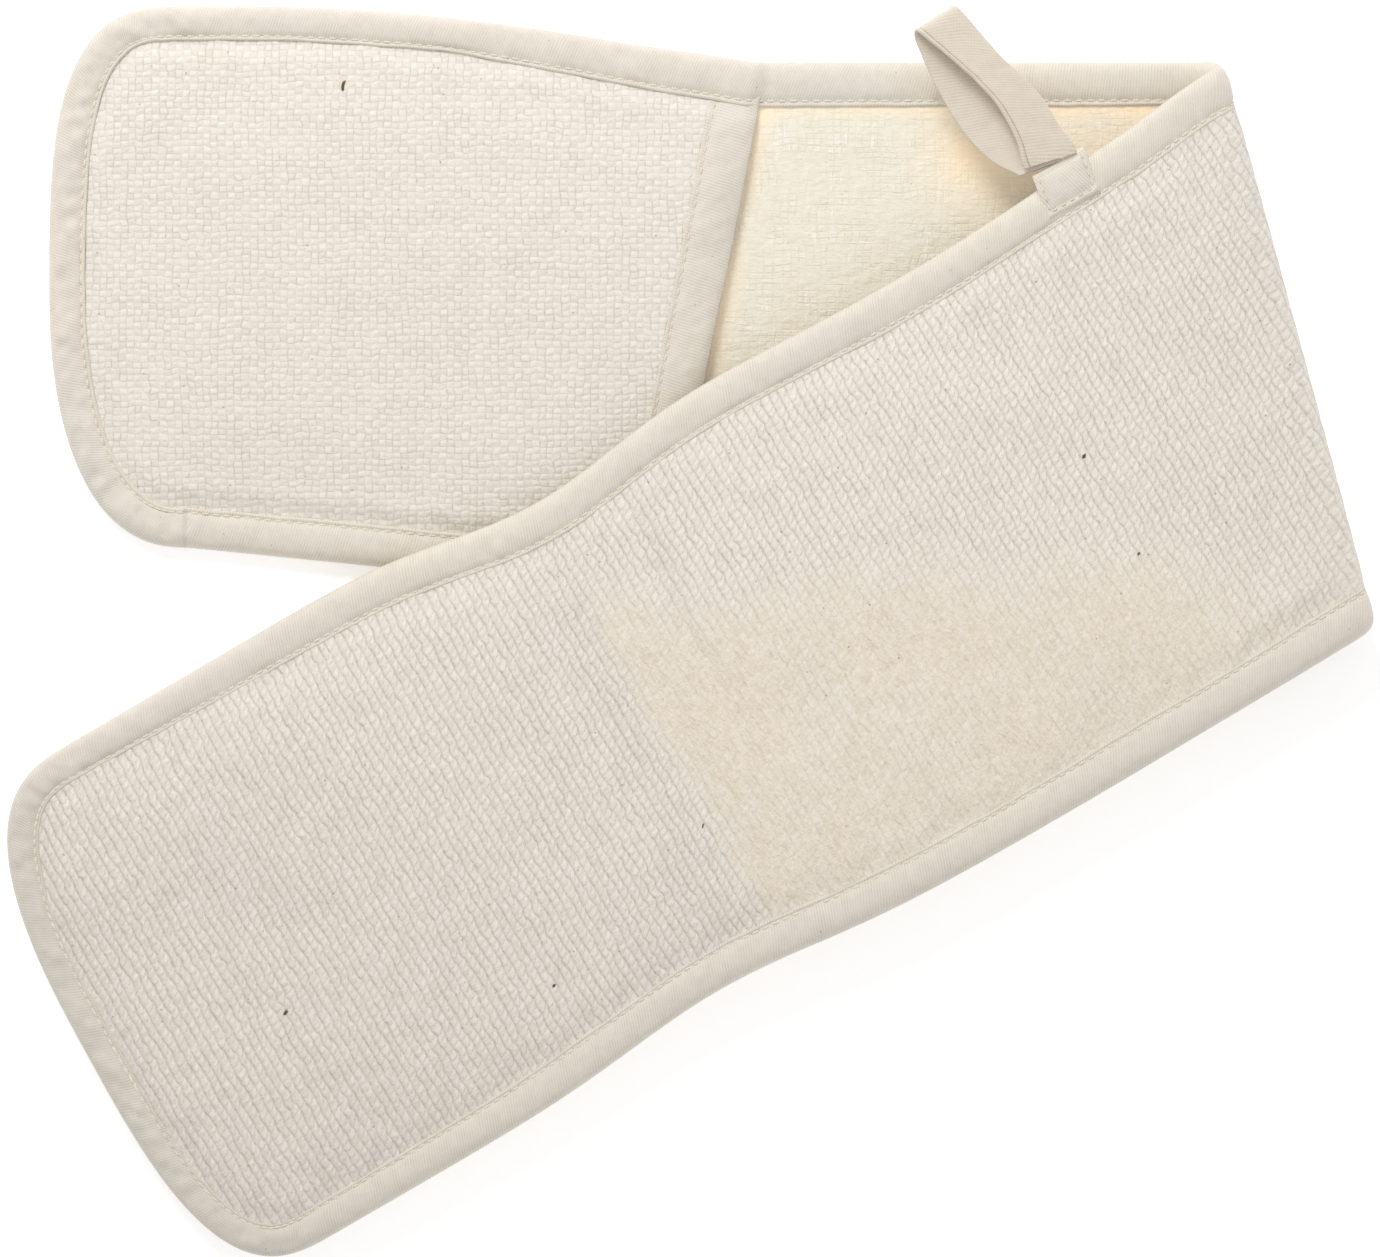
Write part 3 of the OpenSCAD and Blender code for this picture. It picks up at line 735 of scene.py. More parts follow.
def add_flecks(m, position, fibre_noise, colour, strength):
    """Rare small brown specks."""
    cells = m.new("ShaderNodeTexVoronoi", voronoi_dimensions="2D", feature="F1")
    m.link(position, cells.inputs["Vector"])
    cells.inputs["Scale"].default_value = 0.085
    split = m.new("ShaderNodeSeparateColor")
    m.link(cells.outputs["Color"], split.inputs[0])
    rare = m.math("GREATER_THAN", split.outputs[0], 0.80)
    rough_distance = m.mul_add(fibre_noise, 0.04, cells.outputs["Distance"])
    dot = m.ramp(rough_distance, 0.030, 0.052, to=(1.0, 0.0))
    return m.mix(m.mul(m.mul(rare, dot), strength), colour, linear((158, 132, 98)))


def cloth_material(name, pattern, base, shade, warm, gap, gap_mix, fibre, twill=0.0,
                   twill_pitch=0.8, fleck=0.0, sheen=0.3, rough=0.9, bump_strength=0.5,
                   bump_mm=0.5, tint=0.1, painted_light_colour=None):
    """Cotton; the pattern is read from the mesh attributes."""
    m = Nodes(name)
    position = m.attribute("cloth", "Vector")
    thread_tint = m.attribute("tint")
    broad = m.noise(position, scale=0.016, detail=3, rough=0.55)
    medium = m.noise(position, scale=0.09, w=3.0)
    fine = m.noise(position, scale=1.7, detail=3, rough=0.6, w=5.0)
    fibre_x = m.noise(position, scale=1.5, detail=3, rough=0.65, stretch=(0.45, 1.7, 1.0), w=9.0)
    fibre_y = m.noise(position, scale=1.5, detail=3, rough=0.65, stretch=(1.7, 0.45, 1.0), w=12.0)
    colour = m.mix(m.ramp(broad, 0.35, 0.66), linear(base), linear(warm))
    colour = m.mix(m.ramp(medium, 0.5, 0.85, to=(0.0, 0.5)), colour, linear(shade))
    # painted shade: the colour is darkened toward black by the attribute read here
    if pattern in (ribs_pattern, tape_pattern):
        colour = m.mix(m.attribute("painted_shade"), colour, (0.0, 0.0, 0.0, 1))
    light = m.mix(0.7, colour, HIGHLIGHT)
    weave = None
    if pattern is not tape_pattern:
        weave = m.separate(m.attribute("weave", "Vector"))
    colour, gaps, pattern_height = pattern(m, position, colour, weave)

    tint_share = m.math("MULTIPLY_ADD", thread_tint, 0.5, 0.5, clamped=True)
    colour = m.mix(m.mul(tint_share, tint * 2.5), colour, light)
    # painted shade: the gap colour darkens the gaps and grooves that the pattern marks
    ragged = m.ramp(fibre_y, 0.35, 0.65, to=(0.6, 1.15))
    colour = m.mix(m.mul(gaps, m.mul(ragged, gap_mix)), colour, linear(gap))
    fibres = m.ramp(fibre_x, 0.35, 0.7)
    colour = m.mix(m.mul(fibres, fibre * 0.28), colour, linear(shade))
    colour = m.mix(m.ramp(fine, 0.5, 0.75, to=(0.0, fibre * 0.6)), colour, (1, 0.985, 0.95, 1))
    height = m.mul_add(fine, 0.30, m.mul(fibre_x, 0.30))
    height = m.add(height, pattern_height)
    if twill:
        colour, height = add_twill(m, position, medium, colour, height, gap, twill, twill_pitch)
    surface = m.bsdf.inputs
    # painted light: the lining is tinted warmer and made to emit faintly where its mask is set, standing in
    # for light through the cloth
    if painted_light_colour:
        painted_light_mask = weave[2]
        colour = m.mix(m.mul(painted_light_mask, 0.8), colour, linear(painted_light_colour))
        surface["Emission Color"].default_value = (1.0, 0.80, 0.55, 1)
        m.link(m.mul(painted_light_mask, 0.16), surface["Emission Strength"])
    if fleck:
        colour = add_flecks(m, position, fibre_x, colour, fleck)
    # stray dark fibres are marked by a very low tint
    colour = m.mix(m.ramp(thread_tint, -6.0, -2.5, to=(1.0, 0.0)), colour, linear((96, 78, 58)))
    m.link(colour, surface["Base Color"])
    m.link(m.ramp(fine, 0.3, 0.7, to=(rough - 0.08, min(1.0, rough + 0.06))), surface["Roughness"])
    surface["Specular IOR Level"].default_value = 0.25
    surface["Sheen Weight"].default_value = sheen
    surface["Sheen Roughness"].default_value = 0.5
    surface["Sheen Tint"].default_value = (1.0, 0.97, 0.92, 1)
    bump_node = m.new("ShaderNodeBump")
    bump_node.inputs["Strength"].default_value = bump_strength
    bump_node.inputs["Distance"].default_value = bump_mm / 1000
    m.link(height, bump_node.inputs["Height"])
    m.link(bump_node.outputs[0], surface["Normal"])
    return m.mat


# each gap colour is the painted shade of the gaps and grooves
LOOKS = {
    "outer_weave": dict(
        pattern=ribs_pattern, base=(229, 222, 211), shade=(219, 211, 199), warm=(232, 224, 211),
        gap=(168, 151, 128), gap_mix=0.40, fibre=0.5, fleck=0.7, bump_strength=0.62, bump_mm=0.7),
    "pocket_weave": dict(
        pattern=basket_pattern, base=(226, 219, 208), shade=(218, 210, 198), warm=(228, 221, 208),
        gap=(172, 156, 134), gap_mix=0.37, fibre=0.45, fleck=0.6, bump_strength=0.55, bump_mm=0.6),
    # the lining's painted warm light colour, with its emission, stands in for light through the cloth
    "lining_cloth": dict(
        pattern=terry_pattern, base=(236, 230, 213), shade=(231, 223, 205), warm=(238, 231, 213),
        gap=(220, 203, 174), gap_mix=0.28, fibre=0.35, sheen=0.4, fleck=0.3, bump_strength=0.42,
        bump_mm=0.6, painted_light_colour=(246, 224, 190)),
    "binding_tape": dict(
        pattern=tape_pattern, base=(226, 219, 208), shade=(218, 210, 198), warm=(228, 221, 208),
        gap=(182, 168, 148), gap_mix=0.35, twill=0.36, fibre=0.3, rough=0.85, bump_mm=0.3,
        fleck=0.45, tint=0.03),
    "sewing_thread": dict(
        pattern=tape_pattern, base=(232, 224, 205), shade=(222, 212, 190), warm=(234, 226, 208),
        gap=(170, 152, 122), gap_mix=0.5, twill=0.25, twill_pitch=0.6, fibre=0.2, sheen=0.1,
        rough=0.7, bump_strength=0.3, bump_mm=0.2, tint=0.03),
    "loop_tape": dict(
        pattern=tape_pattern, base=(221, 211, 197), shade=(212, 201, 186), warm=(224, 213, 197),
        gap=(176, 160, 136), gap_mix=0.85, twill=0.30, twill_pitch=0.9, fibre=0.3, sheen=0.25,
        rough=0.85, bump_mm=0.3, tint=0.03),
}
MATERIALS = {name: cloth_material(name, **look) for name, look in LOOKS.items()}


# ---------------------------------------------------------------- mesh builders
def unit(vector, tiny):
    return vector / np.maximum(np.linalg.norm(vector, axis=-1, keepdims=True), tiny)


def sheet_normals(points):
    return unit(np.cross(np.gradient(points, axis=0), np.gradient(points, axis=1)), 1e-12)


def ring_normals(points, closed=False):
    """Normals of rings of points (rings, ring points, 3); closed joins the last ring to the first."""
    if closed:
        before, after = points[-1:], points[:1]
    else:
        before, after = 2 * points[:1] - points[1:2], 2 * points[-1:] - points[-2:-1]
    wide = np.concatenate([before, points, after], 0)
    wide = np.concatenate([wide[:, -1:], wide, wide[:, :1]], 1)
    along = wide[2:, 1:-1] - wide[:-2, 1:-1]
    around = wide[1:-1, 2:] - wide[1:-1, :-2]
    return unit(np.cross(along, around), 1e-9)


def sheet_quads(index):
    corners = [index[:-1, :-1], index[1:, :-1], index[1:, 1:], index[:-1, 1:]]
    return np.stack(corners, -1).reshape(-1, 4)


def ring_quads(index):
    after = np.roll(index, -1, -1)
    corners = [index[..., :-1, :], index[..., 1:, :], after[..., 1:, :], after[..., :-1, :]]
    return np.stack(corners, -1).reshape(-1, 4)


def flatten(values):
    """Joins the two grid axes."""
    return values.reshape(-1, *values.shape[2:])


def make_mesh(name, points, faces, attributes, slot, normals=None):
    """A mesh object from points in mm.

    faces: pairs of an array with one face per row, and whether these are smooth. attributes: one
    value or vector per point. normals: one per point, used on the smooth faces.
    """
    corners = np.concatenate([rows.ravel() for rows, _ in faces]).astype(np.int32)
    sizes = np.concatenate([np.full(len(rows), rows.shape[1]) for rows, _ in faces])
    is_smooth = np.concatenate([np.full(len(rows), flag) for rows, flag in faces])
    mesh = bpy.data.meshes.new(name)
    mesh.vertices.add(len(points))
    mesh.vertices.foreach_set("co", (np.asarray(points, np.float32) / 1000).ravel())
    mesh.loops.add(len(corners))
    mesh.loops.foreach_set("vertex_index", corners)
    mesh.polygons.add(len(sizes))
    starts = np.concatenate([[0], np.cumsum(sizes)[:-1]]).astype(np.int32)
    mesh.polygons.foreach_set("loop_start", starts)
    try:
        mesh.polygons.foreach_set("loop_total", sizes.astype(np.int32))
    except Exception:
        pass  # guards against versions where loop_total is read-only and follows loop_start
    mesh.polygons.foreach_set("use_smooth", is_smooth)
    mesh.update(calc_edges=True)
    mesh.validate()
    for key, values in attributes.items():
        values = np.asarray(values, np.float32)
        if values.ndim == 2:
            data = mesh.attributes.new(key, "FLOAT_VECTOR", "POINT").data
            data.foreach_set("vector", values.ravel())
        else:
            mesh.attributes.new(key, "FLOAT", "POINT").data.foreach_set("value", values)
    if normals is not None:
        keep = np.repeat(is_smooth, sizes)
        corner_normals = np.zeros((len(corners), 3), np.float32)
        corner_normals[keep] = normals[corners[keep]]
        mesh.normals_split_custom_set(corner_normals.tolist())
    ob = bpy.data.objects.new(name, mesh)
    bpy.context.scene.collection.objects.link(ob)
    mesh.materials.append(MATERIALS[slot])
    return ob


STRIDE = 4  # cells of a sheet's fine face to one cell of its hidden face


def sheet(name, x, y, face, back, attributes, slot, flip=False):
    """Closed shell with a fine face at level face and a coarse hidden face at level back.

    Gives the object and the opened-strap x and y of all its vertices.
    """
    x_back, y_back = x[::STRIDE, ::STRIDE], y[::STRIDE, ::STRIDE]
    front = place(x, y, face)
    hidden = place(x_back, y_back, np.broadcast_to(back, x.shape)[::STRIDE, ::STRIDE])
    normals = sheet_normals(front)
    if flip:
        normals = -normals
    fine = np.arange(x.size).reshape(x.shape)
    coarse = x.size + np.arange(x_back.size).reshape(x_back.shape)
    walls = []
    for many, few in ((fine[:, 0], coarse[:, 0]), (fine[::-1, -1], coarse[::-1, -1]),
                      (fine[0, ::-1], coarse[0, ::-1]), (fine[-1], coarse[-1])):
        for k in range(len(few) - 1):
            run = many[k * STRIDE:(k + 1) * STRIDE + 1][::-1]
            walls.append(np.concatenate([run, few[k:k + 2]]))
    faces = [(sheet_quads(fine), True), (sheet_quads(coarse)[:, [0, 3, 2, 1]], False),
             (np.array(walls), False)]
    if flip:
        faces = [(rows[:, ::-1], flag) for rows, flag in faces]

    def both(values):
        return np.concatenate([flatten(values), flatten(values[::STRIDE, ::STRIDE])])

    ob = make_mesh(name, np.concatenate([flatten(front), flatten(hidden)]), faces,
                   {key: both(values) for key, values in attributes.items()}, slot,
                   np.concatenate([flatten(normals), np.zeros((x_back.size, 3))]))
    return ob, both(x), both(y)


def tubes(name, strips, slot):
    """Closed tubes. Each strip holds arrays (rings, ring points): points and normals in the
    folded frame, x and y on the opened strap, and cloth, relief, tint and painted shade."""
    faces, base = [], 0
    for strip in strips:
        shape = strip["x"].shape
        index = base + np.arange(strip["x"].size).reshape(shape)
        faces += [(ring_quads(index), True), (index[:1], False), (index[-1:, ::-1], False)]
        base += index.size
    whole = {key: np.concatenate([flatten(strip[key]) for strip in strips]) for key in strips[0]}
    attributes = {key: whole[key] for key in ("cloth", "relief", "tint", "painted_shade")}
    ob = make_mesh(name, whole["points"], faces, attributes, slot, whole["normals"])
    return ob, whole["x"], whole["y"]


def stitches(x, y, z, toward_x, toward_y, length, width, height, up):
    """Small capsules lying along (toward_x, toward_y), their ends sunk into the cloth.

    Gives x, y, z and the places along and across each stitch, as arrays (stitches, rings, ring
    points), and up: 1 for stitches seen from +z, -1 from -z.
    """
    along = np.array([-1.0, -0.82, -0.42, 0.0, 0.42, 0.82, 1.0])[None, :, None]
    radius = np.array([0.12, 0.62, 0.95, 1.0, 0.95, 0.62, 0.12])[None, :, None]
    sink = np.array([-1.0, -0.45, -0.05, 0.0, -0.05, -0.45, -1.0])[None, :, None]
    angle = np.linspace(0, 2 * math.pi, 8, endpoint=False)[None, None, :]
    x, y, z, toward_x, toward_y, length = (
        values[:, None, None] for values in (x, y, z, toward_x, toward_y, length))
    reach = along * (length / 2)
    side = np.cos(angle) * radius * width / 2
    rise = np.sin(angle) * radius * height / 2 + sink * height * 0.7
    return (*np.broadcast_arrays(x + toward_x * reach - toward_y * side,
                                 y + toward_y * reach + toward_x * side,
                                 z + up * rise, reach, side), up)


def thread_object(name, groups, folded=True, relief=1.0):
    """One object of all the stitches in the groups; folded runs them through place()."""
    points, faces, cloth, all_x, all_y, base = [], [], [], [], [], 0
    for x, y, z, reach, side, up in groups:
        index = base + np.arange(x.size).reshape(x.shape)
        parts = [ring_quads(index), index[:, 0, :], index[:, -1, ::-1]]
        faces += [(rows[:, ::-1] if up > 0 else rows, True) for rows in parts]
        placed = place(x, y, z) if folded else vectors(x, y, z)
        points.append(placed.reshape(-1, 3))
        cloth.append(vectors(reach.ravel(), side.ravel() * 3))
        all_x.append(x.ravel())
        all_y.append(y.ravel())
        base += x.size
    attributes = {"cloth": np.concatenate(cloth), "relief": np.full(base, relief),
                  "tint": np.zeros(base)}
    ob = make_mesh(name, np.concatenate(points), faces, attributes, "sewing_thread")
    return ob, np.concatenate(all_x), np.concatenate(all_y)


def attach(ob, slot, bodies, weights, start, end, *replaced):
    """Blends an object between two bodies, from start to end (mm), with a weight per vertex."""
    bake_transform(ob, *bodies, tuple(v / 1000 for v in start), tuple(v / 1000 for v in end))
    blend = ob.data.attributes["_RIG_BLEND"]
    blend.data.foreach_set("value", np.asarray(weights, np.float32))
    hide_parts(*replaced)


def attach_rigid(ob, body, replaced):
    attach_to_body(ob, body)
    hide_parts(replaced)


# Sections along the strap: start and end lines, the two bodies each follows, the weight between
# them, and the endings of the CAD pieces' names it stands for.
Section = namedtuple("Section", "name start end bodies weight cad_names")
SECTIONS = [
    Section("end_a", END_A, JOINT_A, ("limb_a", "end_a"), weight_end_a, ["end_a"]),
    Section("limb_a", JOINT_A, BEND_1, ("limb_a", "fold_1"), weight_arc(0), ["limb_a"]),
    Section("fold_1", BEND_1, BEND_2, ("fold_1", "fold_2"), weight_arc(1), ["fold_1"]),
    Section("fold_2", BEND_2, BEND_3, ("fold_2", "fold_3"), weight_arc(2), ["fold_2"]),
    Section("limb_b", BEND_3, JOINT_B, ("fold_3", "limb_b"), weight_arc(3), ["fold_3", "limb_b"]),
    Section("end_b", JOINT_B, END_B, ("limb_b", "end_b"), weight_end_b, ["end_b"]),
]


def attach_section(ob, x, y, section, kind, slot):
    middle = (section.start + section.end) / 2
    attach(ob, slot, section.bodies, section.weight(x, y), middle_point(middle - 1),
           middle_point(middle + 1), *(kind + "_" + ending for ending in section.cad_names))


# mouth: x at y = 0, lean, direction out of the pocket along x, bodies and their weight
Mouth = namedtuple("Mouth", "x lean out bodies weight")
MOUTHS = {"a": Mouth(MOUTH_A, LEAN_A, 1, ("limb_a", "lip_a"), weight_lip_a),
          "b": Mouth(MOUTH_B, LEAN_B, -1, ("end_b", "lip_b"), weight_lip_b)}

# ---------------------------------------------------------------- panel grids
PANEL_INSET = 3.6  # of the panels' edges, inside the binding
ROW_LIMIT = 0.985


def lines(stops, pitch, multiple=STRIDE):
    """Line positions through the stops, about pitch apart (one value or one per gap), with a
    multiple of cells between stops; gives them and the index of each stop."""
    out, index = [stops[0]], {stops[0]: 0}
    pitches = np.broadcast_to(pitch, len(stops) - 1)
    for start, end, step in zip(stops[:-1], stops[1:], pitches):
        count = max(multiple, int(round((end - start) / step / multiple)) * multiple)
        out += list(start + (end - start) * np.arange(1, count + 1) / count)
        index[end] = len(out) - 1
    return np.array(out), index


def cross_rows(pitch):
    count = int(round(146 / pitch / STRIDE)) * STRIDE
    return np.linspace(-ROW_LIMIT, ROW_LIMIT, count + 1)


def panel_grid(stations, rows):
    """x, y for lines across the strap and rows along it (-1 to 1)."""
    line, row = np.meshgrid(stations, rows, indexing="ij")
    into_a, into_b = clamp((CAP_X_A - line) / CAP_A), clamp((line - CAP_X_B) / CAP_B)
    line = np.clip(line, CAP_X_A, CAP_X_B)

    def row_y(x):
        return mid_y(x) + (half_y(x) - PANEL_INSET) * row

    x = line
    for _ in range(5):
        x = np.where(into_a > 0, CAP_X_A, line - slant(line) * row_y(x))
    y = row_y(x)
    length_a = (CAP_A - PANEL_INSET) * (1 - round_off(row, 1.0, power_a(row)))
    length_b = (CAP_B - PANEL_INSET) * (1 - round_off(row, 1.0, power_b(row)))
    x = np.where(into_a > 0, CAP_X_A - into_a * length_a, x)
    return np.where(into_b > 0, x + into_b * length_b, x), y


# stray dark fibres: x, y, half length, half width, angle
OUTER_FIBRES = [  # placed in the folded frame
    (-101.6, -182.4, 1.1, 0.45, 0.9), (-28.7, -175.0, 0.7, 0.5, 0.4),
    (11.7, -131.6, 0.8, 0.4, 1.3), (129.7, -58.1, 0.7, 0.5, 0.2), (114.7, -31.7, 0.7, 0.45, 0.8)]
POCKET_FIBRES = [(-86.814, 70.161, 1.7, 0.5, 1.45)]  # placed on the opened strap
FIBRE_TINT = 9.0  # drop in tint that marks a stray fibre


def stray_fibres(x, y, tint, fibres):
    for fibre_x, fibre_y, half_length, half_wide, angle in fibres:
        dx, dy = x - fibre_x, y - fibre_y
        along = dx * math.cos(angle) + dy * math.sin(angle)
        across = -dx * math.sin(angle) + dy * math.cos(angle) + 0.12 * along * along
        spot = np.exp(-(along / half_length) ** 4 - (across / half_wide) ** 2)
        tint = tint - FIBRE_TINT * spot
    return tint


# ---------------------------------------------------------------- panels
def outer_painted_shade(x, y):
    """Painted shade on the upper limb: darker at the fold, toward the end and in the mouth's creases."""
    past = x - (MOUTH_B + LEAN_B * y)
    painted_shade = 0.01 + 0.03 * smooth((250 - x) / 60) + 0.04 * smooth((x - 340) / 80)
    painted_shade = painted_shade + 0.04 * smooth((x - 430) / 80) + 0.035 * bump(past, 20, 8)
    painted_shade = painted_shade + 0.05 * tape_groove(x, y)
    painted_shade = painted_shade + 0.03 * bump(rim_depth(x, y), 13, 4) * smooth((x - 480) / 40)
    return on_upper(x, y) * painted_shade


def build_outer():
    rows = cross_rows(0.80)
    for sections, pitch, fibres in ((SECTIONS[:4], 1.05, []), (SECTIONS[4:], 0.52, OUTER_FIBRES)):
        stops = [section.start for section in sections] + [sections[-1].end]
        stops = sorted(stops + [cap for cap in (CAP_X_A, CAP_X_B) if stops[0] < cap < stops[-1]])
        stations, index = lines(stops, pitch * COARSEN)
        x, y = panel_grid(stations, rows)
        z, weave, tint = outer_surface(x, y)
        folded = place(x, y, z)
        tint = stray_fibres(folded[..., 0], folded[..., 1], tint, fibres)
        attributes = {"cloth": vectors(x, y), "weave": weave, "tint": tint,
                      "painted_shade": outer_painted_shade(x, y)}
        for section in sections:
            part = slice(index[section.start], index[section.end] + 1)
            built = sheet("outer_" + section.name, x[part], y[part], z[part], 1.92,
                          {key: values[part] for key, values in attributes.items()},
                          "outer_weave", flip=True)
            attach_section(*built, section, "outer_panel", "outer_weave")


def build_lining():
    stops = sorted([section.start for section in SECTIONS] + [END_B, CAP_X_A, CAP_X_B, 0.0])
    # finer where it shows, between the pocket and the fold
    pitches = [(0.8 if start >= 0 and end <= BEND_3 else 1.3) * COARSEN
               for start, end in zip(stops[:-1], stops[1:])]
    stations, index = lines(stops, pitches)
    x, y = panel_grid(stations, cross_rows(0.9 * COARSEN))
    z, weave, tint = lining_surface(x, y)
    attributes = {"cloth": vectors(x, y), "weave": weave, "tint": tint}
    for section in SECTIONS:
        part = slice(index[section.start], index[section.end] + 1)
        built = sheet("lining_" + section.name, x[part], y[part], z[part], 2.05,
                      {key: values[part] for key, values in attributes.items()}, "lining_cloth")
        attach_section(*built, section, "lining", "lining_cloth")


MOUTH_GAP = 1.4  # the panels stop this far inside their mouth's edge


def build_pockets():
    # lower pocket, in two sections
    end = MOUTH_A - MOUTH_GAP
    stations, index = lines([END_A, CAP_X_A, JOINT_A, end], 0.56 * COARSEN)
    x, y = panel_grid(stations, cross_rows(0.60 * COARSEN))
    z, back, weave, tint = pocket_surface(x, y, "a")
    tint = stray_fibres(x, y, tint, POCKET_FIBRES)
    for name, start, stop, bodies, weight, far, replaced in (
            ("end_a", END_A, JOINT_A, ("limb_a", "end_a"), weight_end_a, -124,
             ["pocket_panel_end_a"]),
            ("lip", JOINT_A, end, ("limb_a", "lip_a"), weight_lip_a, 0,
             ["pocket_panel_limb_a", "pocket_lip_a"])):
        part = slice(index[start], index[stop] + 1)
        attributes = {"cloth": vectors(x, y)[part], "weave": weave[part], "tint": tint[part]}
        ob, mesh_x, mesh_y = sheet("pocket_a_" + name, x[part], y[part], z[part], back[part],
                                   attributes, "pocket_weave")
        attach(ob, "pocket_weave", bodies, weight(mesh_x, mesh_y), middle_point(JOINT_A),
               middle_point(far), *replaced)
    # upper pocket, on the upper limb's underside
    stations, _ = lines([MOUTH_B + MOUTH_GAP, CAP_X_B, END_B], 0.95 * COARSEN)
    x, y = panel_grid(stations, cross_rows(1.0 * COARSEN))
    z, back, weave, tint = pocket_surface(x, y, "b")
    attributes = {"cloth": vectors(x + POCKET_SHIFT["b"], y), "weave": weave, "tint": tint}
    ob, mesh_x, mesh_y = sheet("pocket_b", x, y, z, back, attributes, "pocket_weave")
    attach(ob, "pocket_weave", ("end_b", "lip_b"), weight_lip_b(mesh_x, mesh_y),
           middle_point(464), middle_point(MOUTH_B), "pocket_panel_end_b", "pocket_lip_b")


# ---------------------------------------------------------------- edge binding
STITCH_PITCH = 3.0
# ring: share of the width in from the edge; seat (t lining side, o outer side, m middle,
# i inside on the outer side, j inside on the lining side); height above that seat
BINDING_RING = [
    (1.000, "t", 0.02), (1.006, "t", 0.36), (0.975, "t", 0.60), (0.935, "t", 0.60),
    (0.900, "t", 0.34), (0.868, "t", 0.40), (0.80, "t", 0.84), (0.70, "t", 1.08),
    (0.58, "t", 1.22), (0.46, "t", 1.22), (0.34, "t", 1.08), (0.22, "t", 0.74),
    (0.12, "t", 0.18), (0.04, "t", -0.75), (0.0, "m", 0.0), (0.04, "o", -0.85),
    (0.12, "o", 0.12), (0.22, "o", 0.70), (0.34, "o", 1.02), (0.46, "o", 1.14),
    (0.58, "o", 1.12), (0.70, "o", 0.98), (0.80, "o", 0.74), (0.868, "o", 0.32),
    (0.900, "o", 0.26), (0.935, "o", 0.50), (0.975, "o", 0.50), (1.006, "o", 0.26),
    (1.000, "o", -0.10), (0.80, "i", -0.35), (0.20, "i", -0.50), (0.14, "m", 0.0),
    (0.20, "j", 0.25), (0.80, "j", 0.06)]


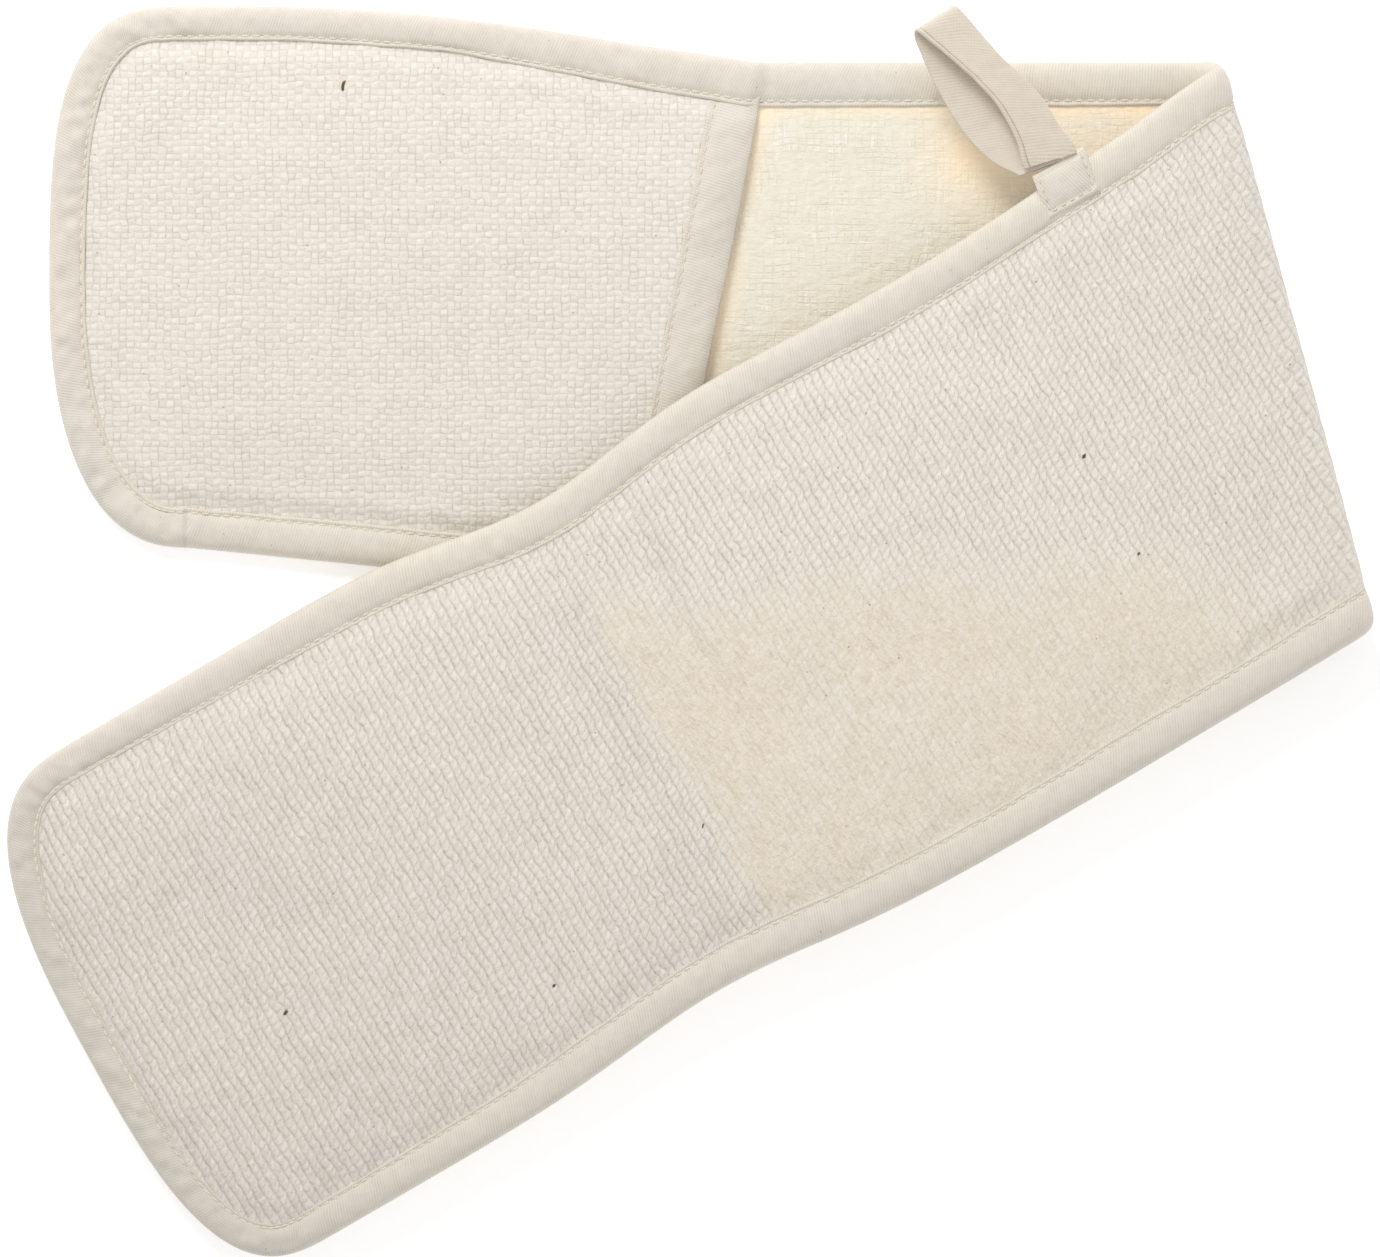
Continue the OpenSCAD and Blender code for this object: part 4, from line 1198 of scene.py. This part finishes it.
def build_binding():
    """The tape round the whole edge; gives the values along it that the stitches follow."""
    pitch = 0.95 * COARSEN
    joints = [JOINT_A, BEND_1, BEND_2, BEND_3, JOINT_B]
    stations, index = lines([CAP_X_A] + joints + [CAP_X_B], pitch, multiple=1)

    def even_end(end):
        x, y = end_curve(end, 721)
        length = running_length(x, y)
        marks = np.linspace(0, length[-1], int(length[-1] / pitch) + 1)[1:-1]
        return np.interp(marks, length, x), np.interp(marks, length, y)

    def long_edge(edge_y):
        x = stations
        for _ in range(8):
            x = stations - slant(stations) * edge_y(x)
        x[0] = CAP_X_A
        return x, edge_y(x)

    # one loop, anticlockwise: -y edge, end b, +y edge, end a
    bottom_x, bottom = long_edge(bottom_y)
    top_x, top = long_edge(top_y)
    cap_b_x, cap_b_y = even_end("b")
    cap_a_x, cap_a_y = even_end("a")
    x = np.concatenate([bottom_x, cap_b_x, top_x[::-1], cap_a_x])
    y = np.concatenate([bottom, cap_b_y, top[::-1], cap_a_y])
    edge_n, cap_n, count = len(stations), len(cap_b_x), len(x)
    line = np.concatenate([stations, np.full(cap_n, 600.0), stations[::-1],
                           np.full(len(cap_a_x), -600.0)])
    side = np.concatenate([np.full(edge_n, -1.0), np.linspace(-1, 1, cap_n),
                           np.full(edge_n, 1.0), np.linspace(1, -1, len(cap_a_x))])
    # inward direction: square to the edge at the ends, along the cross lines on the long edges
    dx, dy = np.roll(x, -1) - np.roll(x, 1), np.roll(y, -1) - np.roll(y, 1)
    length = np.hypot(dx, dy)
    straight = np.zeros(count)
    eased = smooth((stations - CAP_X_A) / 30) * (1 - smooth((stations - CAP_X_B + 30) / 30))
    straight[:edge_n] = eased
    straight[edge_n + cap_n:2 * edge_n + cap_n] = eased[::-1]
    inward = np.where(side < 0, 1.0, -1.0)
    in_x = -dy / length * (1 - straight) - slant(line) * inward * straight
    in_y = dx / length * (1 - straight) + inward * straight
    arc = running_length(x, y)
    width = binding_width(x, side)

    over_pocket = np.maximum(smooth((MOUTH_A + LEAN_A * y + 2.5 - x) / 5),
                             smooth((x - MOUTH_B - LEAN_B * y + 2.5) / 5))
    top_seat = SEAT_Z + (POCKET_Z - SEAT_Z) * over_pocket
    upper = on_upper(x, y)
    # the outer side is pressed flat on the floor under the lower limb and free on the upper one
    outer_fullness = 0.12 + 0.88 * upper
    outer_seat = 0.62 * (1 - upper) + 0.30 * upper
    dimple = 0.5 + 0.5 * np.cos(2 * math.pi * arc / STITCH_PITCH)
    wave_top = 1 + 0.18 * noise(arc / 7.0, 0, 101) + 0.10 * noise(arc / 2.6, 0, 102)
    wave_outer = 1 + 0.18 * noise(arc / 6.0, 5, 103) + 0.10 * noise(arc / 2.3, 5, 104)
    wander = 0.20 * noise(arc / 24, 0, 105) + 0.10 * noise(arc / 6, 0, 106)

    inset = np.zeros((count, len(BINDING_RING)))
    z = np.zeros((count, len(BINDING_RING)))
    relief = np.ones((count, len(BINDING_RING)))
    for k, (part, seat, height) in enumerate(BINDING_RING):
        face = seat in "to"
        crest = 0.15 < part < 0.85
        groove = 0.86 < part < 0.91
        inset[:, k] = part * width + (wander if part > 0.85 and face else 0)
        # low relief marks painted shade in the stitch groove and at the very edge
        if face and groove:
            relief[:, k] = 0.35
        elif part > 0.99:
            relief[:, k] = 0.55
        if seat == "t":
            z[:, k] = top_seat + height * (wave_top if crest else 1) - 0.10 * dimple * groove
        elif seat == "o":
            z[:, k] = outer_seat - height * outer_fullness * (wave_outer if crest else 1) \
                + 0.10 * dimple * upper * groove
        elif seat == "m":
            z[:, k] = (top_seat + 0.3) / 2
        elif seat == "i":
            z[:, k] = outer_seat - height
        else:
            z[:, k] = top_seat - height

    def above_floor(level):
        return np.where(upper[:, None] < 0.05, np.maximum(level, 0.02), level)

    z = above_floor(z)
    # cross folds where the tape is eased round the ends and at the dips in the edges
    easing = clamp(1 - straight) * 1.3 + 0.9 * bump(x, 382, 30) * (side > 0) \
        + 0.9 * bump(x, 405, 26) * (side < 0) + 0.8 * bump(x, -6, 22) * (side > 0) + 0.5
    shares = np.array([part for part, _, _ in BINDING_RING])[None, :]
    facing = np.array([{"t": 1.0, "o": -1.0}.get(seat, 0.0) for _, seat, _ in BINDING_RING])
    arc_col = arc[:, None]
    folds = noise(arc_col / 3.2 + 0.6 * shares, 3.1 * shares, 107) \
        * np.sin(clamp(shares) * math.pi) ** 0.7
    z = above_floor(z + facing * folds * 0.24 * easing[:, None]
                    * np.where(facing < 0, outer_fullness[:, None], 1))
    ring_x = x[:, None] + in_x[:, None] * inset
    ring_y = y[:, None] + in_y[:, None] * inset
    points = place(ring_x, ring_y, z)
    # painted shade on the binding: darker on the upper limb toward its end, and a little at end a
    painted_shade = upper * (0.015 + 0.03 * smooth((x - 430) / 80) + 0.07 * smooth((x - 520) / 30)) \
        + 0.012 * smooth((-150 - x) / 10)
    whole = dict(points=points, normals=ring_normals(points, closed=True), x=ring_x, y=ring_y,
                 cloth=vectors(arc_col, running_length(shares[0] * 11.5, z[0])), relief=relief,
                 tint=0.4 * noise(arc_col / 20, shares * 2, 111),
                 painted_shade=np.broadcast_to(painted_shade[:, None], z.shape))

    def on_bottom(stop):
        return index[stop]

    def on_top(stop):
        return edge_n + cap_n + (edge_n - 1 - index[stop])

    def strip(first, last):
        rings = np.arange(first, last + 1 + (count if first > last else 0)) % count
        return {key: values[rings] for key, values in whole.items()}

    for section in SECTIONS:
        start, end = section.start, section.end
        if start == END_A:
            strips = [strip(on_top(end), on_bottom(end))]
        elif end == END_B:
            strips = [strip(on_bottom(start), on_top(start))]
        else:
            strips = [strip(on_bottom(start), on_bottom(end)), strip(on_top(end), on_top(start))]
        built = tubes("edge_binding_" + section.name, strips, "binding_tape")
        attach_section(*built, section, "edge_binding", "binding_tape")
    return dict(arc=arc, x=x, y=y, in_x=in_x, in_y=in_y, width=width, top_seat=top_seat,
                outer_fullness=outer_fullness, outer_seat=outer_seat, upper=upper)


def build_topstitch(binding):
    """A row of stitches on each face, in the groove by the binding's inner edge."""
    marks = np.arange(1.5, binding["arc"][-1] + 0.4, STITCH_PITCH)
    at = {key: np.interp(marks, binding["arc"], values) for key, values in binding.items()}
    inset = 0.885 * at["width"]
    x, y = at["x"] + at["in_x"] * inset, at["y"] + at["in_y"] * inset
    toward_x, toward_y = np.gradient(x), np.gradient(y)
    norm = np.hypot(toward_x, toward_y)
    toward_x, toward_y = toward_x / norm, toward_y / norm
    number = np.arange(len(marks))
    length = 2.35 + 0.25 * (cell_random(number, 0, 5) - 0.5)
    stray = 0.08 * (cell_random(number, 0, 7) - 0.5)
    x, y = x - toward_y * stray, y + toward_x * stray
    z_top = at["top_seat"] + 0.42
    z_outer = at["outer_seat"] - 0.33 * at["outer_fullness"] - 0.02
    z_outer = np.where(at["upper"] < 0.05, np.maximum(z_outer, 0.28), z_outer)
    q = fold_q(x, y)
    home = np.select([x < JOINT_A, q < STRIP, q < 2 * STRIP, q < 3 * STRIP,
                      x - LEAN_B * y < JOINT_B], [0, 1, 2, 3, 4], 5)
    for k, section in enumerate(SECTIONS):
        mask = home == k
        groups = [stitches(*(values[mask] for values in (x, y, z, toward_x, toward_y, length)),
                           width=0.62, height=0.42, up=up)
                  for z, up in ((z_top, 1.0), (z_outer, -1.0))]
        built = thread_object("topstitch_" + section.name, groups)
        attach_section(*built, section, "topstitch", "sewing_thread")


# ---------------------------------------------------------------- mouth tapes
# ring: distance from the mouth's edge into the pocket; 1 face, 0 middle, -1 back; height
MOUTH_RING = np.array([
    (13.0, 1, 0.02), (13.08, 1, 0.34), (12.75, 1, 0.56), (12.2, 1, 0.54), (11.75, 1, 0.30),
    (11.2, 1, 0.38), (10.2, 1, 0.66), (8.6, 1, 0.86), (6.6, 1, 0.95), (4.6, 1, 0.92),
    (2.8, 1, 0.74), (1.4, 1, 0.40), (0.4, 1, -0.05), (-0.35, 1, -0.62), (-0.55, 0, 0.0),
    (-0.3, -1, -0.25), (0.5, -1, 0.25), (1.8, -1, 0.52), (4.0, -1, 0.62), (8.0, -1, 0.60),
    (12.0, -1, 0.48), (12.3, -1, 0.1), (8.0, -1, 0.04), (2.2, -1, -0.02), (1.5, 0, 0.0),
    (2.2, 1, -0.06), (8.0, 1, -0.06)])


def build_mouth(which):
    mouth = MOUTHS[which]
    into, facing, height = MOUTH_RING.T[:, None, :]

    def mouth_x(y, distance):
        return mouth.x + mouth.lean * y - mouth.out * distance

    def attach_mouth(ob, x, y, kind, slot):
        attach(ob, slot, mouth.bodies, mouth.weight(x, y), middle_point(mouth_x(0.0, 60)),
               middle_point(mouth.x), f"mouth_{kind}_{which}", f"mouth_{kind}_lip_{which}")

    ys = np.arange(-80, 95, 0.8 * COARSEN)
    xs = mouth_x(ys, 0)
    ys = ys[(ys > bottom_y(xs)) & (ys < top_y(xs)) & (rim_depth(xs, ys) > 6.5)]
    y = ys[:, None] + 0 * into
    x = mouth_x(y, into)
    x_panel = mouth_x(y, np.maximum(into, MOUTH_GAP))  # the panel ends short of the mouth's edge
    level, thickness = pocket_level(x_panel, y, which)
    # the tape thins toward the strap's edges
    fullness = 0.15 + 0.85 * smooth((rim_depth(x_panel, y) - 9.5) / 7)
    wave = 1 + 0.16 * noise(y / 6.0, 0, 121) + 0.1 * noise(y / 2.4, into / 5, 122)
    face_z = level + height * fullness * wave
    back_z = level - thickness - height * fullness * 0.9
    z = np.where(facing > 0, face_z, np.where(facing < 0, back_z, level - thickness / 2))
    z = np.maximum(z, 3.62)
    ripple = 0.12 * noise(y / 2.8 + 0.3 * into, into / 6, 123)
    z = z + (facing > 0) * (height > 0.3) * ripple
    # the free edge waves a little along the mouth
    x = x + mouth.out * 0.5 * noise(y / 28, 0, 124) * smooth((13 - into) / 12)
    points = place(x, y, z)
    normals = ring_normals(points)
    if mouth.out < 0:  # the ring runs the other way round
        points, normals, x, y = points[::-1], -normals[::-1], x[::-1], y[::-1]
    # low relief marks painted shade in the stitch groove
    in_groove = (np.abs(into - 11.6) < 0.3) & (facing > 0)
    strip = dict(points=points, normals=normals, x=x, y=y,
                 cloth=vectors(y, running_length(into[0], height[0])),
                 relief=np.where(in_groove, 0.35, 1.0) + 0 * y,
                 tint=0.4 * noise(y / 15, 0, 125), painted_shade=0 * y)
    attach_mouth(*tubes("mouth_binding_" + which, [strip], "binding_tape"), "binding",
                 "binding_tape")

    # its line of stitches
    y = np.arange(ys[0] + 5, ys[-1] - 5, STITCH_PITCH)
    x = mouth_x(y, 11.65)
    keep = rim_depth(x, y) > 12.5
    x, y = x[keep], y[keep]
    level, _ = pocket_level(x, y, which)
    norm = math.hypot(mouth.lean, 1)
    ones = np.ones(len(x))
    row = stitches(x, y, level + 0.36, ones * mouth.lean / norm, ones / norm, ones * 2.35,
                   width=0.6, height=0.42, up=1.0)
    attach_mouth(*thread_object("mouth_stitch_" + which, [row]), "stitch", "sewing_thread")


# ---------------------------------------------------------------- hanging loop, in the folded frame
# The upper limb's edge by the loop: its direction and the direction out of the strap.
EDGE_TURN = 2 * SKEW
EDGE_X, EDGE_Y = math.cos(EDGE_TURN), math.sin(EDGE_TURN)
OUT_X, OUT_Y = -EDGE_Y, EDGE_X
LOOP_ROOT = (109.5, 48.9, FOLD_HEIGHT)

# tape from the seam out over the tip and back underneath: x, y and height over FOLD_HEIGHT of
# the left edge, then of the right edge
LOOP_PATH = [
    (98.6, 46.2, 1.25, 112.8, 50.6, 1.1), (97.8, 48.2, 1.6, 111.6, 53.4, 1.45),
    (96.4, 53.6, 2.0, 107.6, 58.4, 1.7), (92.2, 61.6, 2.4, 103.6, 65.0, 1.9),
    (86.4, 68.6, 2.3, 97.4, 71.6, 1.9), (79.2, 75.2, 1.8, 91.6, 77.4, 1.6),
    (71.4, 82.0, 1.0, 82.2, 88.2, 1.2), (69.6, 83.4, 0.0, 80.4, 90.2, 0.5),
    (69.0, 83.0, -1.2, 80.0, 90.2, -0.9), (69.6, 80.6, -2.4, 81.4, 87.8, -2.0),
    (72.6, 74.2, -3.4, 85.8, 80.0, -2.2), (77.4, 64.6, -3.9, 91.0, 70.0, -2.4),
    (83.0, 55.8, -3.4, 95.6, 61.0, -1.9), (90.0, 48.6, -2.0, 102.6, 53.4, -1.2),
    (97.4, 44.4, -0.4, 109.4, 48.6, -0.3)]
GROOVE = -0.785  # place of the stitch groove across the tape
# ring: share of the half width, height
LOOP_RING = np.array([
    (-1.0, 0.0), (-0.985, 0.30), (-0.93, 0.56), (-0.87, 0.62), (-0.825, 0.40), (GROOVE, 0.24),
    (-0.745, 0.38), (-0.66, 0.46), (-0.5, 0.46), (-0.25, 0.48), (0, 0.48), (0.25, 0.48),
    (0.5, 0.46), (0.78, 0.45), (0.93, 0.38), (0.985, 0.2), (1.0, 0.0), (0.985, -0.2),
    (0.93, -0.38), (0.7, -0.45), (0.3, -0.47), (-0.3, -0.47), (-0.7, -0.45), (-0.93, -0.42),
    (-0.985, -0.26)])


def smooth_path(stations, count):
    """Catmull-Rom curve through the stations, resampled evenly by its first three columns."""
    ends = [2 * stations[0] - stations[1]], [2 * stations[-1] - stations[-2]]
    padded = np.concatenate([ends[0], stations, ends[1]])
    t = np.linspace(0, 1, 40, endpoint=False)[:, None]
    pieces = []
    for i in range(len(stations) - 1):
        p0, p1, p2, p3 = padded[i:i + 4]
        pieces.append(0.5 * ((2 * p1) + (-p0 + p2) * t + (2 * p0 - 5 * p1 + 4 * p2 - p3) * t ** 2
                             + (-p0 + 3 * p1 - 3 * p2 + p3) * t ** 3))
    curve = np.concatenate(pieces + [stations[-1:]])
    steps = np.linalg.norm(np.diff(curve[:, :3], axis=0), axis=1)
    length = np.concatenate([[0], np.cumsum(steps)])
    marks = np.linspace(0, length[-1], count)
    return np.stack([np.interp(marks, length, column) for column in curve.T], -1), marks


def build_loop():
    path = np.array(LOOP_PATH)
    path[:, [2, 5]] += FOLD_HEIGHT
    edges, marks = smooth_path(path, 150)
    left, right = edges[:, :3], edges[:, 3:]
    middle = (left + right) / 2
    half = (right - left) / 2
    half_width = np.linalg.norm(half, axis=1, keepdims=True)
    across = half / half_width
    forward = np.gradient(middle, axis=0)
    forward /= np.linalg.norm(forward, axis=1, keepdims=True)
    normal = np.cross(across, forward)
    normal /= np.linalg.norm(normal, axis=1, keepdims=True)
    share, height = LOOP_RING.T[:, None, :]
    marks = marks[:, None]
    reach = share * (half_width + 0.10 * noise(marks / 5, 0, 131))
    lift = height * 1.15 + 0.10 * noise(marks / 3.0, share * 1.5, 132)
    points = middle[:, None] + across[:, None] * reach[:, :, None] \
        + normal[:, None] * lift[:, :, None]
    # taken in reverse, so that the faces look outward
    normals = -ring_normals(points)[::-1]
    points, marks = points[::-1], marks[::-1]
    girth = running_length(share[0] * 7, height[0])
    x, y = points[..., 0], points[..., 1]
    # low relief marks painted shade in the stitch groove
    strip = dict(points=points, normals=normals, x=x, y=y, cloth=vectors(marks, girth),
                 relief=np.where(np.abs(share - GROOVE) < 0.02, -0.9, 1.0) + 0 * marks,
                 tint=0.4 * noise(marks / 12, girth / 5, 133), painted_shade=0 * x)
    ob, x, y = tubes("hanging_loop", [strip], "loop_tape")
    out = (x - LOOP_ROOT[0]) * OUT_X + (y - LOOP_ROOT[1]) * OUT_Y
    tip = (LOOP_ROOT[0] + 6 * OUT_X, LOOP_ROOT[1] + 6 * OUT_Y, FOLD_HEIGHT)
    attach(ob, "loop_tape", ("limb_b", "loop"), smooth((out + 0.8) / 4.5), LOOP_ROOT, tip,
           "hanging_loop")


# ---------------------------------------------------------------- the loop's sewn-down tab
TAB_X, TAB_Y = 106.5, 47.0
TAB_HALF = 8.0
# level of the binding under the tab, by distance in from the strap's edge
TAB_SEAT_INSET = [0, 0.5, 1.4, 2.6, 4.0, 5.4, 6.8, 8.1, 9.4, 10.2, 10.8, 11.5, 12.6, 14]
TAB_SEAT = [-0.9, -0.1, 0.25, 0.62, 0.8, 0.86, 0.85, 0.75, 0.6, 0.4, 0.35, 0.5, 0.6, 1.1]
TAB_EDGE, TAB_ROUND = 0.28, 0.62  # thickness at the very edge, and gained as the edge rounds
# box stitch: start and end of each side, as shares across (-1 to 1) and in (0 to 1)
TAB_SEAMS = [((-0.84, 0.10), (-0.84, 0.88)), ((-0.84, 0.88), (0.84, 0.88)),
             ((0.84, 0.88), (0.84, 0.10)), ((0.60, 0.14), (0.60, 0.50))]


def tab_point(across, inward):
    """Place along the strap's edge and out of it, of a point of the slightly leaning tab."""
    return 1.7 - 2.2 * inward + TAB_HALF * across, 0.6 - 12.6 * inward


def turn_to_edge(along, out):
    return EDGE_X * along + OUT_X * out, EDGE_Y * along + OUT_Y * out


def tab_seat(out):
    return np.interp(-out + 0.9, TAB_SEAT_INSET, TAB_SEAT) + FOLD_HEIGHT - 0.25


def build_tab():
    cols, rows = ((45, 37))
    across = np.linspace(-1, 1, cols)[:, None]
    inward = np.linspace(0, 1, rows)[None, :]
    along, out = tab_point(across, inward)
    x, y = turn_to_edge(along, out)
    seat = tab_seat(out)
    edge = np.minimum(np.minimum((across + 1) * TAB_HALF, (1 - across) * TAB_HALF),
                      np.minimum(inward * 12, (1 - inward) * 12))
    thickness = TAB_EDGE + TAB_ROUND * np.sqrt(clamp(edge / 0.9)) + 0.32 * smooth(edge / 4)
    z = seat + thickness - 0.30 * bump(edge, 1.5, 0.5) \
        + 0.07 * noise(along / 2.2, out / 3, 141) + 0.12 * noise(along / 6, out / 5, 142)
    face = vectors(TAB_X + x, TAB_Y + y, z)
    under = face.copy()
    under[..., 2] = seat - 0.05
    total = cols * rows
    index = np.arange(total).reshape(cols, rows)
    quads = sheet_quads(index)
    walls = [np.stack([rim[1:] + total, rim[:-1] + total, rim[:-1], rim[1:]], -1)
             for rim in (index[:, 0], index[::-1, -1], index[0, ::-1], index[-1])]
    cloth = flatten(vectors(along, out))
    # low relief marks painted shade in the groove near the tab's edge
    relief = (1 - 0.7 * bump(edge, 1.5, 0.35)).ravel()
    attributes = {"cloth": np.concatenate([cloth, cloth]),
                  "relief": np.concatenate([relief, relief]), "tint": np.zeros(2 * total)}
    normals = np.concatenate([flatten(-sheet_normals(face)), np.zeros((total, 3))])
    ob = make_mesh("loop_tab", np.concatenate([flatten(face), flatten(under)]),
                   [(quads[:, ::-1], True), (quads + total, False),
                    (np.concatenate(walls), False)], attributes, "binding_tape", normals)
    attach_rigid(ob, "limb_b", "loop_tab")


def build_tab_stitch():
    """The box of stitches through the tab."""
    places, directions = [], []
    for start, end in TAB_SEAMS:
        start, end = np.array(tab_point(*start)), np.array(tab_point(*end))
        length = np.linalg.norm(end - start)
        count = max(2, int(length / 2.3))
        for k in range(count):
            places.append(start + (end - start) * ((k + 0.5) / count))
            directions.append((end - start) / length)
    along, out = np.array(places).T
    x, y = turn_to_edge(along, out)
    toward_x, toward_y = turn_to_edge(*np.array(directions).T)
    z = tab_seat(out) + TAB_EDGE + TAB_ROUND + 0.05
    row = stitches(TAB_X + x, TAB_Y + y, z, toward_x, toward_y, np.full(len(x), 1.5),
                   width=0.42, height=0.34, up=1.0)
    ob, _, _ = thread_object("loop_stitch", [row], folded=False, relief=0.6)
    attach_rigid(ob, "limb_b", "loop_stitch")


# ---------------------------------------------------------------- cloth simulation
SIM_SCALE = 10.0  # simulated ten times full size, where the solver is steadier
SIM_PITCH = 3.2
SIM_FRAMES = 24


def cloth_heights(name, x_range, y_range, pinned):
    """A sheet pinned along its seams and blown up from behind; gives a function of (x, y) for
    its height over its 90th percentile."""
    (x0, x1), (y0, y1) = x_range, y_range
    x, y = np.meshgrid(np.arange(x0, x1 + SIM_PITCH, SIM_PITCH),
                       np.arange(y0, y1 + SIM_PITCH, SIM_PITCH), indexing="ij")
    hold = pinned(x, y)
    jitter = 0.25 * noise(x / 7, y / 7, 151)
    points = flatten(vectors(x * SIM_SCALE / 1000, y * SIM_SCALE / 1000,
                             np.where(hold, 0, 0.02 + 0.01 * jitter)))
    quads = sheet_quads(np.arange(x.size).reshape(x.shape))
    free = ~hold.ravel()[quads].all(1)
    mesh = bpy.data.meshes.new(name)
    mesh.from_pydata(points.tolist(), [], quads[free].tolist())
    ob = bpy.data.objects.new(name, mesh)
    scene = bpy.context.scene
    scene.collection.objects.link(ob)
    group = ob.vertex_groups.new(name="pin")
    group.add([int(i) for i in np.nonzero(hold.ravel())[0]], 1.0, "REPLACE")
    modifier = ob.modifiers.new("cloth", "CLOTH")
    cloth = modifier.settings
    cloth.quality = 8
    cloth.mass = 0.3
    cloth.tension_stiffness = cloth.compression_stiffness = 30
    cloth.shear_stiffness = 12
    cloth.bending_stiffness = 0.15
    cloth.air_damping = 2.0
    cloth.vertex_group_mass = "pin"
    cloth.pin_stiffness = 1.0
    cloth.use_pressure = True
    cloth.uniform_pressure_force = 3.0
    cloth.shrink_min = -0.030  # slack
    cloth.effector_weights.gravity = 0.0
    modifier.collision_settings.use_collision = False
    modifier.point_cache.frame_start, modifier.point_cache.frame_end = 1, SIM_FRAMES
    frame_before = scene.frame_current
    for frame in range(1, SIM_FRAMES + 1):
        scene.frame_set(frame)
    depsgraph = bpy.context.evaluated_depsgraph_get()
    settled = np.empty(3 * x.size, np.float32)
    ob.evaluated_get(depsgraph).to_mesh().vertices.foreach_get("co", settled)
    ob.evaluated_get(depsgraph).to_mesh_clear()
    heights = settled.reshape(*x.shape, 3)[..., 2] * 1000 / SIM_SCALE
    bpy.data.objects.remove(ob)
    bpy.data.meshes.remove(mesh)
    scene.frame_set(frame_before)
    top = float(np.percentile(heights[~hold], 90))
    return lambda x, y: bilinear(heights, x, y, x0, y0, SIM_PITCH, eased=True) / top


def simulate_swell():
    pocket = cloth_heights(
        "pocket_a", (-172, 40), (-74, 94),
        lambda x, y: (rim_depth(x, y) < 11.5) & (x < MOUTH_A + LEAN_A * y + 8))
    SWELL["a"] = lambda x, y: 0.55 * (4.6 * np.clip(pocket(x, y), 0, 1.3)
                                      - POCKET_RISE * crown_shape(rim_depth(x, y)))
    outer = cloth_heights("upper_limb", (196, 568), (-80, 80),
                          lambda x, y: (rim_depth(x, y) < 11.5) | (x < 204))
    SWELL["outer"] = lambda x, y: np.clip(outer(x, y), 0, 1.35) * smooth((x - 204) / 40)


# ---------------------------------------------------------------- floor, light, camera (metres)
def build_floor():
    marks = np.linspace(-3, 3, 13)
    x, y = np.meshgrid(marks, marks, indexing="ij")
    mesh = bpy.data.meshes.new("floor")
    mesh.from_pydata(flatten(vectors(x, y, -0.0002)).tolist(), [],
                     sheet_quads(np.arange(x.size).reshape(x.shape)).tolist())
    ob = bpy.data.objects.new("floor", mesh)
    bpy.context.scene.collection.objects.link(ob)
    m = Nodes("pale_floor")
    position = m.new("ShaderNodeTexCoord").outputs["Object"]
    patches = m.ramp(m.noise(position, scale=3.0), 0.3, 0.7)
    surface = m.bsdf.inputs
    m.link(m.mix(patches, (0.95, 0.95, 0.955, 1), (0.97, 0.97, 0.97, 1)), surface["Base Color"])
    surface["Emission Color"].default_value = (1, 1, 1, 1)
    surface["Emission Strength"].default_value = 0.32
    surface["Roughness"].default_value = 0.9
    surface["Specular IOR Level"].default_value = 0.1
    mesh.materials.append(m.mat)


def softbox(name, location, size, power, color):
    """A square area light aimed at the strap."""
    light = bpy.data.lights.new(name, "AREA")
    light.shape = "RECTANGLE"
    light.size = light.size_y = size
    light.energy = power
    light.color = color
    ob = bpy.data.objects.new(name, light)
    ob.location = location
    ob.rotation_mode = "QUATERNION"
    aim = Vector((0.01, -0.078, 0)) - Vector(location)
    ob.rotation_quaternion = aim.to_track_quat("-Z", "Y")
    bpy.context.scene.collection.objects.link(ob)


def build_studio():
    scene = bpy.context.scene
    world = bpy.data.worlds.new("studio")
    scene.world = world
    world.use_nodes = True
    background = world.node_tree.nodes["Background"]
    background.inputs["Color"].default_value = (1.0, 1.0, 1.0, 1)
    background.inputs["Strength"].default_value = 0.66
    softbox("key", location=(-0.45, 1.15, 0.95), size=0.6, power=13.6, color=(1.0, 0.99, 0.97))
    softbox("fill", location=(1.1, -0.5, 1.2), size=1.2, power=2.0, color=(1.0, 1.0, 1.0))
    # the camera looks straight down
    lens = bpy.data.cameras.new("camera")
    lens.lens, lens.sensor_width = 100, 36
    lens.clip_start, lens.clip_end = 0.01, 20
    camera = bpy.data.objects.new("camera", lens)
    camera.location = (0.00819, -0.0782, 1.0564)
    scene.collection.objects.link(camera)
    scene.camera = camera
    scene.view_settings.view_transform = "Standard"
    scene.view_settings.exposure = 0.0


simulate_swell()
build_outer()
build_lining()
build_pockets()
build_topstitch(build_binding())
build_mouth("a")
build_mouth("b")
build_loop()
build_tab()
build_tab_stitch()
build_floor()
build_studio()
